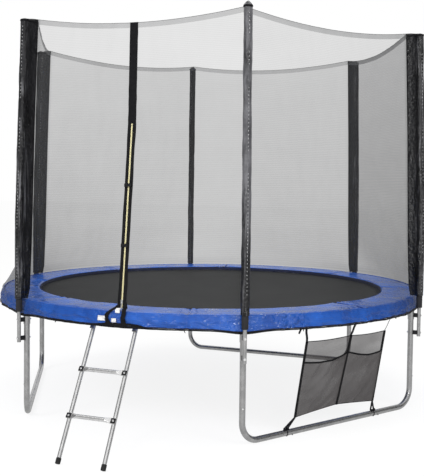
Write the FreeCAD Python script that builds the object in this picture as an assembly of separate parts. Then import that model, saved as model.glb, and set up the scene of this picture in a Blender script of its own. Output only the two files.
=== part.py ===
import FreeCAD, Part
import math
import os
from FreeCAD import Vector

# Round garden trampoline with a safety net, a ladder and a hanging shoe bag.
# Millimetres.  The origin is the centre of the jumping mat's top face, +Z is up,
# and the door of the net and the ladder face -Y.  Heights below are above the
# ground unless their name says otherwise, and level() turns them into row z.

MAT_HEIGHT = 755.0

# frame
RAIL_RADIUS = 1506.0
RAIL_HEIGHT = 740.0
FRAME_TUBE_R = 19.0
FRAME_BORE_R = 17.5
SPIGOT_R = 17.45
SPIGOT_BORE_R = 16.0
SPIGOT_LENGTH = 60.0
POLE_ANGLES = (-120.0, -60.0, 0.0, 60.0, 120.0, 180.0)
BAY_ANGLES = (-90.0, -30.0, 30.0, 90.0, 150.0, 210.0)
LEG_BAYS = (-30.0, 90.0, 210.0)
SOCKET_R = 22.0
SOCKET_BORE_R = 19.2
SOCKET_BOTTOM = 620.0
UPRIGHT_SEAT = 717.0
LEG_SEAM = 195.0
LEG_BEND_R = 120.0
SCREW_R = 2.4
SCREW_HOLE_R = 2.5
SCREW_REACH = 7.0
SCREW_HEAD = 3.0

# net poles
POLE_RADIUS = 1561.0
POLE_TOP_RADIUS = 1522.3
POLE_R = 12.5
POLE_BORE_R = 11.2
POLE_SPIGOT_R = 11.15
POLE_SPIGOT_WALL = 1.5
POLE_SPIGOT_LENGTH = 70.0
POLE_BOTTOM = 505.0
POLE_JOINT = 1290.0
POLE_BEND = 1300.0
POLE_TOP = 2562.0
FOAM_R = 21.0
FOAM_BORE_R = 12.7
FOAM_BOTTOM = 705.0
FOAM_TOP = 2548.0
POLE_BOLT_HEIGHTS = (530.0, 650.0)
BOLT_R = 3.0
BOLT_HOLE_R = 3.2
BOLT_HEAD_R = 8.0
NUT_R = 5.8
NUT_THICKNESS = 5.0
BOLT_HEAD_HEIGHT = 3.5
CAP_R = 14.0
CAP_RIM = 4.0
CAP_DOME = 7.0
CAP_PLUG = 25.0
SPACER_HALF_WIDTH = 12.0
SPACER_HALF_HEIGHT = 13.0

# jumping mat and springs
MAT_R = 1250.0
MAT_THICKNESS = 2.0
HEM_R = 1285.0
HEM_TOP_DROP = 0.2
HEM_THICKNESS = 4.0
SPRING_COUNT = 60
SPRING_FIRST_ANGLE = -87.0
SPRING_R = 11.0
SPRING_BORE_R = 7.5
WIRE_R = 1.6
RING_CENTRE_RADIUS = 1298.5
RING_R = 11.0
RING_HEIGHT = 750.5
SPRING_START = (1300.0, 754.6)
SPRING_END = (1490.0, 745.5)
COIL_START_RADIUS = 1335.0
COIL_END_RADIUS = 1455.0
SPRING_HOLE_R = 4.0
COIL_END_THICKNESS = 3.0
SPRING_HOOK = 5.0

# safety pad over the springs
PAD_INNER_R = 1261.5
PAD_EDGE_R = 1528.0
SKIRT_R = 1536.5
PAD_TOP = 781.0
PAD_BOTTOM = 765.5
SKIRT_BOTTOM = 700.0
COVER_THICKNESS = 1.5
FOAM_INNER_R = 1264.0
FOAM_OUTER_R = 1514.0
FOAM_HEIGHTS = (768.0, 779.0)
PAD_SECTIONS = 8
PAD_FIRST_SEAM = -72.5
SECTION_GAP_DEG = 0.06
TIE_ANGLES = (-107.0, -73.0, -46.0, -14.0, 14.0, 46.0, 74.0, 106.0, 134.0, 166.0, 194.0, 226.0)
TIE_LOOP_R = 21.2
TIE_CORD_R = 2.0
TIE_TAIL = 45.0
TIE_KNOT_R = 4.0

# net
NET_THICKNESS = 1.0
BAND_THICKNESS = 2.5
BAND_HEIGHT = 33.0
BAND_CORNER = 2590.0
BAND_SAG = 56.0
NET_SIDE_GAP = 2.0
NET_BOTTOM = 692.0
HEM_CORD_R = 3.0
HEM_CORD_RADIUS = 1533.5
HEM_CORD_HEIGHT = 694.0
FIN_THICKNESS = 3.0
SLEEVE_R = 22.5
SLEEVE_BORE_R = 21.3
SLEEVE_BOTTOM = 787.0
SLEEVE_TOP = 2578.0
# inner edge of the fabric fin on each pole: (height, distance from the centre)
FIN_EDGE = ((2590.0, 1430.0), (1900.0, 1455.0), (1150.0, 1474.0), (850.0, 1487.0), (787.0, 1500.0))
BAND_RADII = (1430.0, 1240.0)
NET_TOP_RADII = (1431.0, 1241.0)
# net between two poles: (height, distance at the poles, distance midway)
NET_ROWS = (
    (1900.0, 1455.0, 1262.0),
    (1400.0, 1468.0, 1290.0),
    (1150.0, 1474.0, 1335.0),
    (950.0, 1483.0, 1430.0),
    (850.0, 1489.0, 1487.0),
    (801.0, 1519.0, 1520.0),
    (790.0, 1530.0, 1531.0),
    (NET_BOTTOM, 1538.0, 1538.0),
)

# door zip, a straight line on the net panel that faces -Y: (x, distance, height)
ZIP_TOP = (-13.0, 1260.0, 1911.0)
ZIP_BOTTOM = (56.0, 1505.0, 801.0)
TAPE_WIDTH = 56.0
TAPE_THICKNESS = 1.2
TAPE_STAND_OFF = 3.2
COIL_WIDTH = 8.0
COIL_HEIGHT = 2.0
SLIDER_START = 28.0
STRIP_STAND_OFF = 4.5
SLIDER_SIZE = (14.0, 5.0, 22.0)
SLIDER_CLEARANCE = 0.3
PULL_SIZE = (7.0, 1.6, 42.0)
BUCKLE_HEIGHTS = (1520.0, 1158.0)
BUCKLE_STAND_OFF = 14.0
BUCKLE_SIZE = (22.0, 6.0, 20.0)
PRONG_LENGTH = 16.0
BUCKLE_FOOT = 6.0
BUCKLE_FOOT_SHIFT = 7.0
BUCKLE_CLEARANCE = 0.3

# ladder
LADDER_WIDTH = 284.6
LADDER_TUBE_R = 12.5
LADDER_BORE_R = 11.2
LADDER_OFFSET = 35.5
LADDER_FOOT_Y = -2034.0
LADDER_LEAN = 93.0
LADDER_TOP_SHORT = 6.0
RUNG_HEIGHTS = (452.0, 225.0)
RUNG_FLAT = (17.0, 1.6)
# distances from the rung's middle: end of its round part, start and end of its flat
RUNG_REACHES = (92.0, 124.0, 157.3)
RUNG_GAP = 0.3
RUNG_CAP_HALF = 14.0
RUNG_CAP_THICKNESS = 4.0
HOOK_INNER_R = 20.2
HOOK_OUTER_R = 22.7
HOOK_WIDTH = 20.0
HOOK_TIP_DEG = 20.0
HOOK_TONGUE = 70.0
HOOK_BOLT_DOWN = 45.0
FOOT_R = 14.5
FOOT_LENGTH = 30.0
FOOT_SOLE = 4.0

# shoe bag in the bay right of the ladder: (offset along the bay, height)
BAG_BAY = -30.0
BAG_HALF_WIDTH = 350.0
BAG_TOP = 597.0
BAG_BOTTOM_SIDE = 112.0
BAG_BOTTOM_MIDDLE = 142.0
BAG_THICKNESS = 1.2
BAG_LEAN_FOOT = 1304.2
LEG_TUBE_DISTANCE = RAIL_RADIUS * math.cos(math.radians(30.0))
BAG_LEAN_TOP = 1450.0
POCKET_SIDE = 466.0
POCKET_MIDDLE = 490.0
POCKET_BULGE = 26.0
POCKET_SAG = 10.0
POCKET_STAND_OFF = 4.0
PIPING_R = 2.5
BAG_STRAP_TOPS = (-372.0, 45.0, 400.0)
BAG_STRAP_FEET = (-405.0, 376.0)
BAG_KNOT_R = 4.7

# tubes are bored through with cylinders that run past both faces by this much
PAST = 2.0


def level(height):
    """Row z of a height above the ground."""
    return height - MAT_HEIGHT


def polar(radius, angle, height):
    turn = math.radians(angle)
    return Vector(radius * math.cos(turn), radius * math.sin(turn), level(height))


def turned(shape, angle):
    copy = shape.copy()
    copy.rotate(Vector(0, 0, 0), Vector(0, 0, 1), angle)
    return copy


def rod(start, end, radius):
    span = end - start
    return Part.makeCylinder(radius, span.Length, start, span)


def tube(start, end, radius, bore):
    reach = (end - start).normalize() * PAST
    return rod(start, end, radius).cut(rod(start - reach, end + reach, bore))


def joined(shapes):
    whole = shapes[0]
    for shape in shapes[1:]:
        whole = whole.fuse(shape)
    return whole


def save(name, solids):
    Part.makeCompound(solids).exportStep("parts/" + name + ".step")


def swept_profile(points, start, sweep):
    """Solid of revolution about the centre line from (radius, height) points."""
    corners = [Vector(radius, 0, level(height)) for radius, height in points]
    face = Part.Face(Part.makePolygon(corners + corners[:1]))
    solid = face.revolve(Vector(0, 0, 0), Vector(0, 0, 1), sweep)
    return turned(solid, start)


def bent_bar(radius, bar_radius, height, start, end):
    """Round bar that follows a circle about the centre line."""
    circle = Part.makeCircle(bar_radius, Vector(radius, 0, level(height)), Vector(0, 1, 0))
    face = Part.Face(Part.Wire(circle))
    return turned(face.revolve(Vector(0, 0, 0), Vector(0, 0, 1), end - start), start)


def sheet(rows, offset):
    """Thin solid through rows of three points (left, middle, right), offset wide."""
    front = [Part.Arc(*row).toShape() for row in rows]
    back = [Part.Arc(*[point + offset for point in row]).toShape() for row in rows]
    faces = [Part.makeRuledSurface(front[0], back[0]), Part.makeRuledSurface(front[-1], back[-1])]
    for upper, lower in zip(range(len(rows) - 1), range(1, len(rows))):
        faces.append(Part.makeRuledSurface(front[upper], front[lower]))
        faces.append(Part.makeRuledSurface(back[upper], back[lower]))
        for corner in (0, 2):
            near = Part.makeLine(rows[upper][corner], rows[lower][corner])
            far = Part.makeLine(rows[upper][corner] + offset, rows[lower][corner] + offset)
            faces.append(Part.makeRuledSurface(near, far))
    shell = Part.makeShell(faces)
    shell.sewShape()
    solid = Part.makeSolid(Part.makeShell(shell.Faces))
    if solid.Volume < 0:
        solid.reverse()
    return solid


# ---------------------------------------------------------------- frame

def rail_segment(angle):
    start, end = angle - 30.0, angle + 30.0
    spigot_sweep = math.degrees(SPIGOT_LENGTH / RAIL_RADIUS)
    neck_sweep = 0.2
    outer = joined([
        bent_bar(RAIL_RADIUS, FRAME_TUBE_R, RAIL_HEIGHT, start, end - 0.01),
        bent_bar(RAIL_RADIUS, SPIGOT_R, RAIL_HEIGHT, end - neck_sweep, end + spigot_sweep),
        rod(polar(RAIL_RADIUS, angle, SOCKET_BOTTOM), polar(RAIL_RADIUS, angle, RAIL_HEIGHT), SOCKET_R),
    ])
    hollow = [
        bent_bar(RAIL_RADIUS, FRAME_BORE_R, RAIL_HEIGHT, start - 0.1, end - neck_sweep),
        bent_bar(RAIL_RADIUS, SPIGOT_BORE_R, RAIL_HEIGHT, end - neck_sweep - 0.1, end + spigot_sweep + 0.1),
        rod(
            polar(RAIL_RADIUS, angle, SOCKET_BOTTOM - PAST),
            polar(RAIL_RADIUS, angle, UPRIGHT_SEAT),
            SOCKET_BORE_R,
        ),
        pole_bolt_drill(angle, POLE_BOLT_HEIGHTS[1]),
        rail_screw_drill(start),
        rail_screw_drill(end),
    ]
    for number in range(SPRING_COUNT):
        spring_angle = SPRING_FIRST_ANGLE + number * 360.0 / SPRING_COUNT
        away = (spring_angle - angle + 180.0) % 360.0 - 180.0
        if abs(away) < 30.0:
            inside = polar(RAIL_RADIUS - FRAME_TUBE_R - 4.0, spring_angle, SPRING_END[1])
            wall = polar(RAIL_RADIUS - 8.0, spring_angle, SPRING_END[1])
            hollow.append(rod(inside, wall, SPRING_HOLE_R))
    return outer.cut(hollow)


def rail_screw_angle(joint):
    return joint + math.degrees(SPIGOT_LENGTH / RAIL_RADIUS) / 2


def rail_screw_drill(joint):
    angle = rail_screw_angle(joint)
    low = polar(RAIL_RADIUS, angle, RAIL_HEIGHT - FRAME_TUBE_R - PAST)
    high = polar(RAIL_RADIUS, angle, RAIL_HEIGHT - FRAME_TUBE_R + SCREW_REACH)
    return rod(low, high, SCREW_HOLE_R)


def rail_screw(joint):
    angle = rail_screw_angle(joint)
    underside = polar(RAIL_RADIUS, angle, RAIL_HEIGHT - FRAME_TUBE_R)
    tip = underside + Vector(0, 0, SCREW_REACH)
    head = rod(underside - Vector(0, 0, SCREW_HEAD), underside, 2 * SCREW_R)
    return head.fuse(rod(underside, tip, SCREW_R))


def leg_screw_points(angle):
    height = LEG_SEAM + SPIGOT_LENGTH / 2
    face = polar(RAIL_RADIUS + FRAME_TUBE_R, angle, height)
    tip = polar(RAIL_RADIUS + FRAME_TUBE_R - SCREW_REACH, angle, height)
    outside = polar(RAIL_RADIUS + FRAME_TUBE_R + SCREW_HEAD, angle, height)
    return outside, face, tip


def leg_screw(angle):
    outside, face, tip = leg_screw_points(angle)
    return rod(outside, face, 2 * SCREW_R).fuse(rod(face, tip, SCREW_R))


def leg_screw_drill(angle):
    outside, _, tip = leg_screw_points(angle)
    return rod(outside, tip, SCREW_HOLE_R)


def pole_bolt_drill(angle, height):
    inside = polar(RAIL_RADIUS - SOCKET_R - 10.0, angle, height)
    return rod(inside, polar(POLE_RADIUS + POLE_R + 10.0, angle, height), BOLT_HOLE_R)


def leg_upright(angle):
    body = tube(
        polar(RAIL_RADIUS, angle, LEG_SEAM),
        polar(RAIL_RADIUS, angle, UPRIGHT_SEAT - 0.5),
        FRAME_TUBE_R,
        FRAME_BORE_R,
    )
    drills = [pole_bolt_drill(angle, height) for height in POLE_BOLT_HEIGHTS]
    return body.cut(drills + [leg_screw_drill(angle)])


def leg_path(bay, seam):
    """Wire of one U-shaped leg: down, along the ground and up again."""
    across = RAIL_RADIUS * math.cos(math.radians(30.0))
    half = RAIL_RADIUS * math.sin(math.radians(30.0))
    low = level(FRAME_TUBE_R)
    diagonal = LEG_BEND_R * (1 - math.sqrt(0.5))
    edges = []
    for side in (-1, 1):
        seam_point = Vector(across, side * half, level(seam))
        bend_top = Vector(across, side * half, low + LEG_BEND_R)
        bend_middle = Vector(across, side * (half - diagonal), low + diagonal)
        bend_end = Vector(across, side * (half - LEG_BEND_R), low)
        bend = Part.Arc(bend_top, bend_middle, bend_end).toShape()
        edges.append([Part.makeLine(seam_point, bend_top), bend])
    ground = Part.makeLine(edges[0][1].Vertexes[-1].Point, edges[1][1].Vertexes[-1].Point)
    wire = Part.Wire(edges[0] + [ground] + edges[1][::-1])
    return turned(wire, bay)


def pipe(wire, radius):
    start = wire.OrderedVertexes[0].Point
    profile = Part.Wire(Part.makeCircle(radius, start, Vector(0, 0, 1)))
    return wire.makePipeShell([profile], True, False)


def leg_base(bay):
    outer = pipe(leg_path(bay, LEG_SEAM), FRAME_TUBE_R)
    ends = [bay - 30.0, bay + 30.0]
    spigots = []
    for end in ends:
        foot, top = polar(RAIL_RADIUS, end, LEG_SEAM - 5.0), polar(RAIL_RADIUS, end, LEG_SEAM + SPIGOT_LENGTH)
        spigots.append(rod(foot, top, SPIGOT_R))
    bore = pipe(leg_path(bay, LEG_SEAM + SPIGOT_LENGTH + PAST), SPIGOT_BORE_R)
    drills = [leg_screw_drill(end) for end in ends]
    return joined([outer] + spigots).cut([bore] + drills)


# ---------------------------------------------------------------- net poles

def pole_axis(angle, low, high):
    """Points of the bent pole axis between two heights."""
    points = [polar(POLE_RADIUS, angle, low), polar(POLE_RADIUS, angle, POLE_BEND)]
    share = (high - POLE_BEND) / (POLE_TOP - POLE_BEND)
    radius = POLE_RADIUS + share * (POLE_TOP_RADIUS - POLE_RADIUS)
    points.append(polar(radius, angle, high))
    return points


def bent_rod(points, radius):
    foot, bend, top = points
    knee = Part.makeSphere(radius, bend)
    return joined([rod(foot, bend, radius), knee, rod(bend, top, radius)])


def pole_lower(angle):
    foot, top = polar(POLE_RADIUS, angle, POLE_BOTTOM), polar(POLE_RADIUS, angle, POLE_JOINT)
    body = tube(foot, top, POLE_R, POLE_BORE_R)
    return body.cut([pole_bolt_drill(angle, height) for height in POLE_BOLT_HEIGHTS])


def pole_upper(angle):
    """Bent upper tube whose narrowed lower end slides into the lower tube."""
    outer = bent_rod(pole_axis(0, POLE_JOINT, POLE_TOP), POLE_R)
    joint = polar(POLE_RADIUS, 0, POLE_JOINT)
    up = Vector(0, 0, 1)
    knee_below_joint = rod(joint - up * 4 * POLE_R, joint, 2 * POLE_R)
    spigot = rod(joint - up * POLE_SPIGOT_LENGTH, joint + up * 3.0, POLE_SPIGOT_R)
    bore = bent_rod(pole_axis(0, POLE_JOINT + 5.0, POLE_TOP + PAST), POLE_BORE_R)
    narrow_end = joint - up * (POLE_SPIGOT_LENGTH + PAST)
    narrow_bore = rod(narrow_end, joint + up * 8.0, POLE_SPIGOT_R - POLE_SPIGOT_WALL)
    return turned(outer.cut(knee_below_joint).fuse(spigot).cut([bore, narrow_bore]), angle)


def pole_foam(angle):
    outer = bent_rod(pole_axis(0, FOAM_BOTTOM, FOAM_TOP), FOAM_R)
    bore = bent_rod(pole_axis(0, FOAM_BOTTOM - PAST, FOAM_TOP + PAST), FOAM_BORE_R)
    return turned(outer.cut(bore), angle)


def pole_cap(angle):
    _, bend, top = pole_axis(angle, FOAM_BOTTOM, POLE_TOP)
    up = (top - bend).normalize()
    rim = Part.makeCylinder(CAP_R, CAP_RIM, top, up)
    dome = Part.makeCone(CAP_R, CAP_R / 2, CAP_DOME, top + up * CAP_RIM, up)
    plug = Part.makeCylinder(POLE_BORE_R - 0.1, CAP_PLUG, top - up * CAP_PLUG, up)
    return joined([rim, dome, plug])


def leg_surface_r(height):
    return SOCKET_R if height > SOCKET_BOTTOM else FRAME_TUBE_R


def pole_spacer(angle, height):
    """Block hollowed on both sides to sit between a leg and a pole."""
    near, far = RAIL_RADIUS + 14.0, POLE_RADIUS - 6.0
    corner = Vector(near, -SPACER_HALF_WIDTH, level(height) - SPACER_HALF_HEIGHT)
    block = Part.makeBox(far - near, 2 * SPACER_HALF_WIDTH, 2 * SPACER_HALF_HEIGHT, corner)
    low, high = height - SPACER_HALF_HEIGHT - PAST, height + SPACER_HALF_HEIGHT + PAST
    cuts = [
        rod(polar(RAIL_RADIUS, 0, low), polar(RAIL_RADIUS, 0, high), leg_surface_r(height) + 0.05),
        rod(polar(POLE_RADIUS, 0, low), polar(POLE_RADIUS, 0, high), POLE_R + 0.05),
        rod(polar(near - PAST, 0, height), polar(far + PAST, 0, height), BOLT_HOLE_R),
    ]
    return turned(block.cut(cuts), angle)


def bolt_dome(base, axis):
    return Part.makeCone(BOLT_HEAD_R * 0.85, BOLT_HEAD_R * 0.5, BOLT_HEAD_HEIGHT, base, axis)


def pole_bolt(angle, height):
    face = POLE_RADIUS + POLE_R
    end = RAIL_RADIUS - leg_surface_r(height) - NUT_THICKNESS - 2.0
    shank = rod(polar(end, 0, height), polar(face, 0, height), BOLT_R)
    washer = rod(polar(face + 0.05, 0, height), polar(face + 1.5, 0, height), BOLT_HEAD_R)
    dome = bolt_dome(polar(face + 1.5, 0, height), Vector(1, 0, 0))
    neck = rod(polar(face - 1.0, 0, height), polar(face + 0.5, 0, height), BOLT_R)
    return turned(joined([shank, neck, washer, dome]), angle)


def hexagon_nut(centre, axis, bolt_radius):
    side = axis.cross(Vector(0, 0, 1)).normalize()
    up = side.cross(axis)
    corners = []
    for number in range(7):
        turn = math.radians(60.0 * number)
        corners.append(centre + side * (NUT_R * math.cos(turn)) + up * (NUT_R * math.sin(turn)))
    block = Part.Face(Part.makePolygon(corners)).extrude(axis * NUT_THICKNESS)
    return block.cut(rod(centre - axis, centre + axis * (NUT_THICKNESS + 1), bolt_radius + 0.05))


def pole_nut(angle, height):
    face = RAIL_RADIUS - leg_surface_r(height) - 0.1
    return turned(hexagon_nut(polar(face - NUT_THICKNESS, 0, height), Vector(1, 0, 0), BOLT_R), angle)


# ---------------------------------------------------------------- mat and springs

def jumping_mat():
    return Part.makeCylinder(MAT_R, MAT_THICKNESS, Vector(0, 0, -MAT_THICKNESS))


def mat_hem():
    top = MAT_HEIGHT - HEM_TOP_DROP
    inner = MAT_R + 0.5
    corners = [(inner, top), (HEM_R, top), (HEM_R, top - HEM_THICKNESS), (inner, top - HEM_THICKNESS)]
    return swept_profile(corners, 0, 360)


def spring_angles():
    return [SPRING_FIRST_ANGLE + number * 360.0 / SPRING_COUNT for number in range(SPRING_COUNT)]


def mat_ring():
    return Part.makeTorus(RING_R, WIRE_R, polar(RING_CENTRE_RADIUS, 0, RING_HEIGHT))


def spring():
    """Coil body with a straight wire to the mat ring and one to the rail."""
    inner = polar(SPRING_START[0], 0, SPRING_START[1])
    outer = polar(SPRING_END[0], 0, SPRING_END[1])
    slope = (outer - inner).normalize()
    coil_start = inner + slope * (COIL_START_RADIUS - SPRING_START[0])
    coil_end = inner + slope * (COIL_END_RADIUS - SPRING_START[0])
    coil = tube(coil_start, coil_end, SPRING_R, SPRING_BORE_R)
    caps = [
        rod(coil_start, coil_start + slope * COIL_END_THICKNESS, SPRING_R),
        rod(coil_end - slope * COIL_END_THICKNESS, coil_end, SPRING_R),
    ]
    wires = [rod(inner, coil_start, WIRE_R), rod(coil_end, outer, WIRE_R)]
    hook = rod(inner - Vector(0, 0, SPRING_HOOK), inner, WIRE_R)
    return joined([coil] + caps + wires + [hook])


# ---------------------------------------------------------------- pad

def pad_sweep(number):
    """Start angle and sweep of one of the pad's equal sections."""
    full = 360.0 / PAD_SECTIONS
    return PAD_FIRST_SEAM + number * full + SECTION_GAP_DEG, full - 2 * SECTION_GAP_DEG


def pad_section(number):
    low, high = FOAM_HEIGHTS
    corners = [(FOAM_INNER_R, low), (FOAM_OUTER_R, low), (FOAM_OUTER_R, high), (FOAM_INNER_R, high)]
    return swept_profile(corners, *pad_sweep(number))


def cover_section(number):
    """Sheet that wraps the foam's inner edge and top and hangs down as a skirt."""
    inner = PAD_INNER_R + COVER_THICKNESS
    corners = [
        (PAD_INNER_R, PAD_BOTTOM),
        (PAD_INNER_R, PAD_TOP),
        (PAD_EDGE_R, PAD_TOP),
        (SKIRT_R, SKIRT_BOTTOM),
        (SKIRT_R - COVER_THICKNESS, SKIRT_BOTTOM),
        (PAD_EDGE_R - COVER_THICKNESS, PAD_TOP - COVER_THICKNESS),
        (inner, PAD_TOP - COVER_THICKNESS),
        (inner, PAD_BOTTOM + COVER_THICKNESS),
        (FOAM_OUTER_R, PAD_BOTTOM + COVER_THICKNESS),
        (FOAM_OUTER_R, PAD_BOTTOM),
    ]
    return swept_profile(corners, *pad_sweep(number))


def loop_round_rail(angle):
    centre = Vector(RAIL_RADIUS, 0, level(RAIL_HEIGHT))
    ring = Part.makeTorus(TIE_LOOP_R, TIE_CORD_R, centre, Vector(0, 1, 0))
    return turned(ring, angle)


def pad_tie(angle):
    """Elastic loop round the rail with a loose end that hangs below the skirt."""
    knot = polar(RAIL_RADIUS + 8.0, angle, RAIL_HEIGHT - TIE_LOOP_R - 2.0)
    tail = rod(knot, knot - Vector(0, 0, TIE_TAIL), TIE_CORD_R)
    return loop_round_rail(angle).fuse([Part.makeSphere(TIE_KNOT_R, knot), tail])


# ---------------------------------------------------------------- net

def bay_direction(bay):
    return Vector(math.cos(math.radians(bay)), math.sin(math.radians(bay)), 0)


def net_row(bay, height, side_radius, middle_radius, middle_height, middle_shift=0.0):
    """Left, middle and right point of one row of net, clear of the two fins."""
    gap = math.degrees(NET_SIDE_GAP / side_radius)
    left = polar(side_radius, bay - 30.0 + gap, height)
    right = polar(side_radius, bay + 30.0 - gap, height)
    middle = bay_direction(bay) * middle_radius + bay_direction(bay + 90.0) * middle_shift
    return left, middle + Vector(0, 0, level(middle_height)), right


def zip_share(height):
    return (ZIP_TOP[2] - height) / (ZIP_TOP[2] - ZIP_BOTTOM[2])


def zip_point(height):
    """Point of the zip line on the door panel, as (shift along the bay, distance)."""
    share = zip_share(height)
    shift = ZIP_TOP[0] + share * (ZIP_BOTTOM[0] - ZIP_TOP[0])
    distance = ZIP_TOP[1] + share * (ZIP_BOTTOM[1] - ZIP_TOP[1])
    return shift, distance


def net_panel(bay):
    top = BAND_CORNER - BAND_HEIGHT - 1.0
    rows = [net_row(bay, top, *NET_TOP_RADII, top - BAND_SAG)]
    for height, side_radius, middle_radius in NET_ROWS:
        shift = 0.0
        if bay == BAY_ANGLES[0] and height >= ZIP_BOTTOM[2]:
            shift, middle_radius = zip_point(height)
        rows.append(net_row(bay, height, side_radius, middle_radius, height, shift))
    return sheet(rows, bay_direction(bay) * NET_THICKNESS)


def top_band(bay):
    low = BAND_CORNER - BAND_HEIGHT
    rows = [
        net_row(bay, BAND_CORNER, *BAND_RADII, BAND_CORNER - BAND_SAG),
        net_row(bay, low, *NET_TOP_RADII, low - BAND_SAG),
    ]
    return sheet(rows, bay_direction(bay) * BAND_THICKNESS)


def pole_pocket(angle):
    """Fabric sleeve round the foam with a fin that reaches in to the net."""
    sleeve = bent_rod(pole_axis(0, SLEEVE_BOTTOM, SLEEVE_TOP), SLEEVE_R)
    axis = pole_axis(0, SLEEVE_BOTTOM, SLEEVE_TOP)
    half = FIN_THICKNESS / 2
    corners = [Vector(radius, -half, level(height)) for height, radius in FIN_EDGE]
    corners += [Vector(point.x, -half, point.z) for point in axis]
    fin = Part.Face(Part.makePolygon(corners + corners[:1])).extrude(Vector(0, FIN_THICKNESS, 0))
    bore = bent_rod(pole_axis(0, SLEEVE_BOTTOM - PAST, SLEEVE_TOP + 20.0), SLEEVE_BORE_R)
    return turned(sleeve.fuse(fin).cut(bore), angle)


def net_hem_cord(bay):
    half = 30.0 - SECTION_GAP_DEG
    return bent_bar(HEM_CORD_RADIUS, HEM_CORD_R, HEM_CORD_HEIGHT, bay - half, bay + half)


# ---------------------------------------------------------------- door zip

def door_point(height):
    shift, distance = zip_point(height)
    return Vector(shift, -distance, level(height))


def door_frame():
    """Directions of the zip line: up along it, out of the panel and across it."""
    up = (door_point(ZIP_TOP[2]) - door_point(ZIP_BOTTOM[2])).normalize()
    out = Vector(0, -1, 0) - up * up.dot(Vector(0, -1, 0))
    out.normalize()
    return up, out, out.cross(up)


def bar_on_door(base, size, up, out, across):
    """Block of (width, thickness, length) that stands on base and runs up the door."""
    width, thickness, length = size
    near = base - across * (width / 2)
    far = near + across * width
    corners = [near, far, far + out * thickness, near + out * thickness]
    return Part.Face(Part.makePolygon(corners + corners[:1])).extrude(up * length)


def zip_tape():
    up, out, across = door_frame()
    stand = out * (NET_THICKNESS + TAPE_STAND_OFF)
    bottom, top = door_point(ZIP_BOTTOM[2]), door_point(ZIP_TOP[2])
    size = (TAPE_WIDTH, TAPE_THICKNESS, (top - bottom).Length)
    long_tape = bar_on_door(bottom + stand, size, up, out, across)
    band_end = Vector(top.x, -NET_TOP_RADII[1], level(BAND_CORNER - BAND_HEIGHT - BAND_SAG))
    rise = band_end - top
    length = rise.Length
    rise.normalize()
    flat_out = Vector(0, -1, 0)
    strip = bar_on_door(
        top + flat_out * STRIP_STAND_OFF + rise * PAST,
        (TAPE_WIDTH, TAPE_THICKNESS, length - 2 * PAST),
        rise,
        flat_out,
        Vector(1, 0, 0),
    )
    return [long_tape, strip]


def zip_coil():
    up, out, across = door_frame()
    base = door_point(ZIP_BOTTOM[2]) + out * (NET_THICKNESS + TAPE_STAND_OFF + TAPE_THICKNESS)
    length = (door_point(ZIP_TOP[2]) - door_point(ZIP_BOTTOM[2])).Length
    return bar_on_door(base, (COIL_WIDTH, COIL_HEIGHT, length), up, out, across)


def zip_slider():
    """Slider that straddles the coil, with its pull tab hanging on the front."""
    up, out, across = door_frame()
    front = NET_THICKNESS + TAPE_STAND_OFF + TAPE_THICKNESS
    base = door_point(ZIP_BOTTOM[2]) + up * SLIDER_START + out * (front + SLIDER_CLEARANCE)
    body = bar_on_door(base, SLIDER_SIZE, up, out, across)
    groove = bar_on_door(
        base - up * PAST - out,
        (COIL_WIDTH + 1.0, COIL_HEIGHT + 1.0, SLIDER_SIZE[2] + 2 * PAST),
        up,
        out,
        across,
    )
    pull_base = base + out * SLIDER_SIZE[1] + up * (SLIDER_SIZE[2] - 6.0 - PULL_SIZE[2])
    pull = bar_on_door(pull_base, PULL_SIZE, up, out, across)
    return body.cut(groove).fuse(pull)


def buckle_base(height):
    _, out, _ = door_frame()
    return door_point(height) + out * BUCKLE_STAND_OFF


def buckle_drop():
    """How far a buckle's foot reaches in, to just in front of the zip's tape."""
    return BUCKLE_STAND_OFF - NET_THICKNESS - TAPE_STAND_OFF - TAPE_THICKNESS - BUCKLE_CLEARANCE


def buckle_socket(height):
    """Hollow half of a side-release buckle with its webbing foot on the tape."""
    up, out, across = door_frame()
    width, thickness, length = BUCKLE_SIZE
    base = buckle_base(height) + across * (width / 2 + 1.0)
    shell = bar_on_door(base, BUCKLE_SIZE, up, out, across)
    slot = bar_on_door(
        base - across * 5.0 + out * 1.5 + up * 4.0,
        (width, thickness - 3.0, length - 8.0),
        up,
        out,
        across,
    )
    drop = buckle_drop()
    foot_base = base + across * BUCKLE_FOOT_SHIFT - out * drop + up * 5.0
    foot = bar_on_door(foot_base, (BUCKLE_FOOT, drop + 1.0, length - 10.0), up, out, across)
    return shell.cut(slot).fuse(foot)


def buckle_prong(height):
    """Pronged half that clips into the socket, with its webbing foot on the tape."""
    up, out, across = door_frame()
    width, thickness, length = BUCKLE_SIZE
    base = buckle_base(height) - across * (width / 2 + 1.0)
    plate = bar_on_door(base, BUCKLE_SIZE, up, out, across)
    tongue = bar_on_door(
        base + across * (width / 2 + PRONG_LENGTH / 2) + out * 2.0 + up * 6.0,
        (PRONG_LENGTH + 2.0, thickness - 4.0, length - 12.0),
        up,
        out,
        across,
    )
    drop = buckle_drop()
    foot_base = base - across * BUCKLE_FOOT_SHIFT - out * drop + up * 5.0
    foot = bar_on_door(foot_base, (BUCKLE_FOOT, drop + 1.0, length - 10.0), up, out, across)
    return joined([plate, tongue, foot])


# ---------------------------------------------------------------- ladder

HINGE_Y = -math.sqrt(RAIL_RADIUS ** 2 - (LADDER_WIDTH / 2) ** 2)
HINGE_Z = level(RAIL_HEIGHT)


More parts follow.
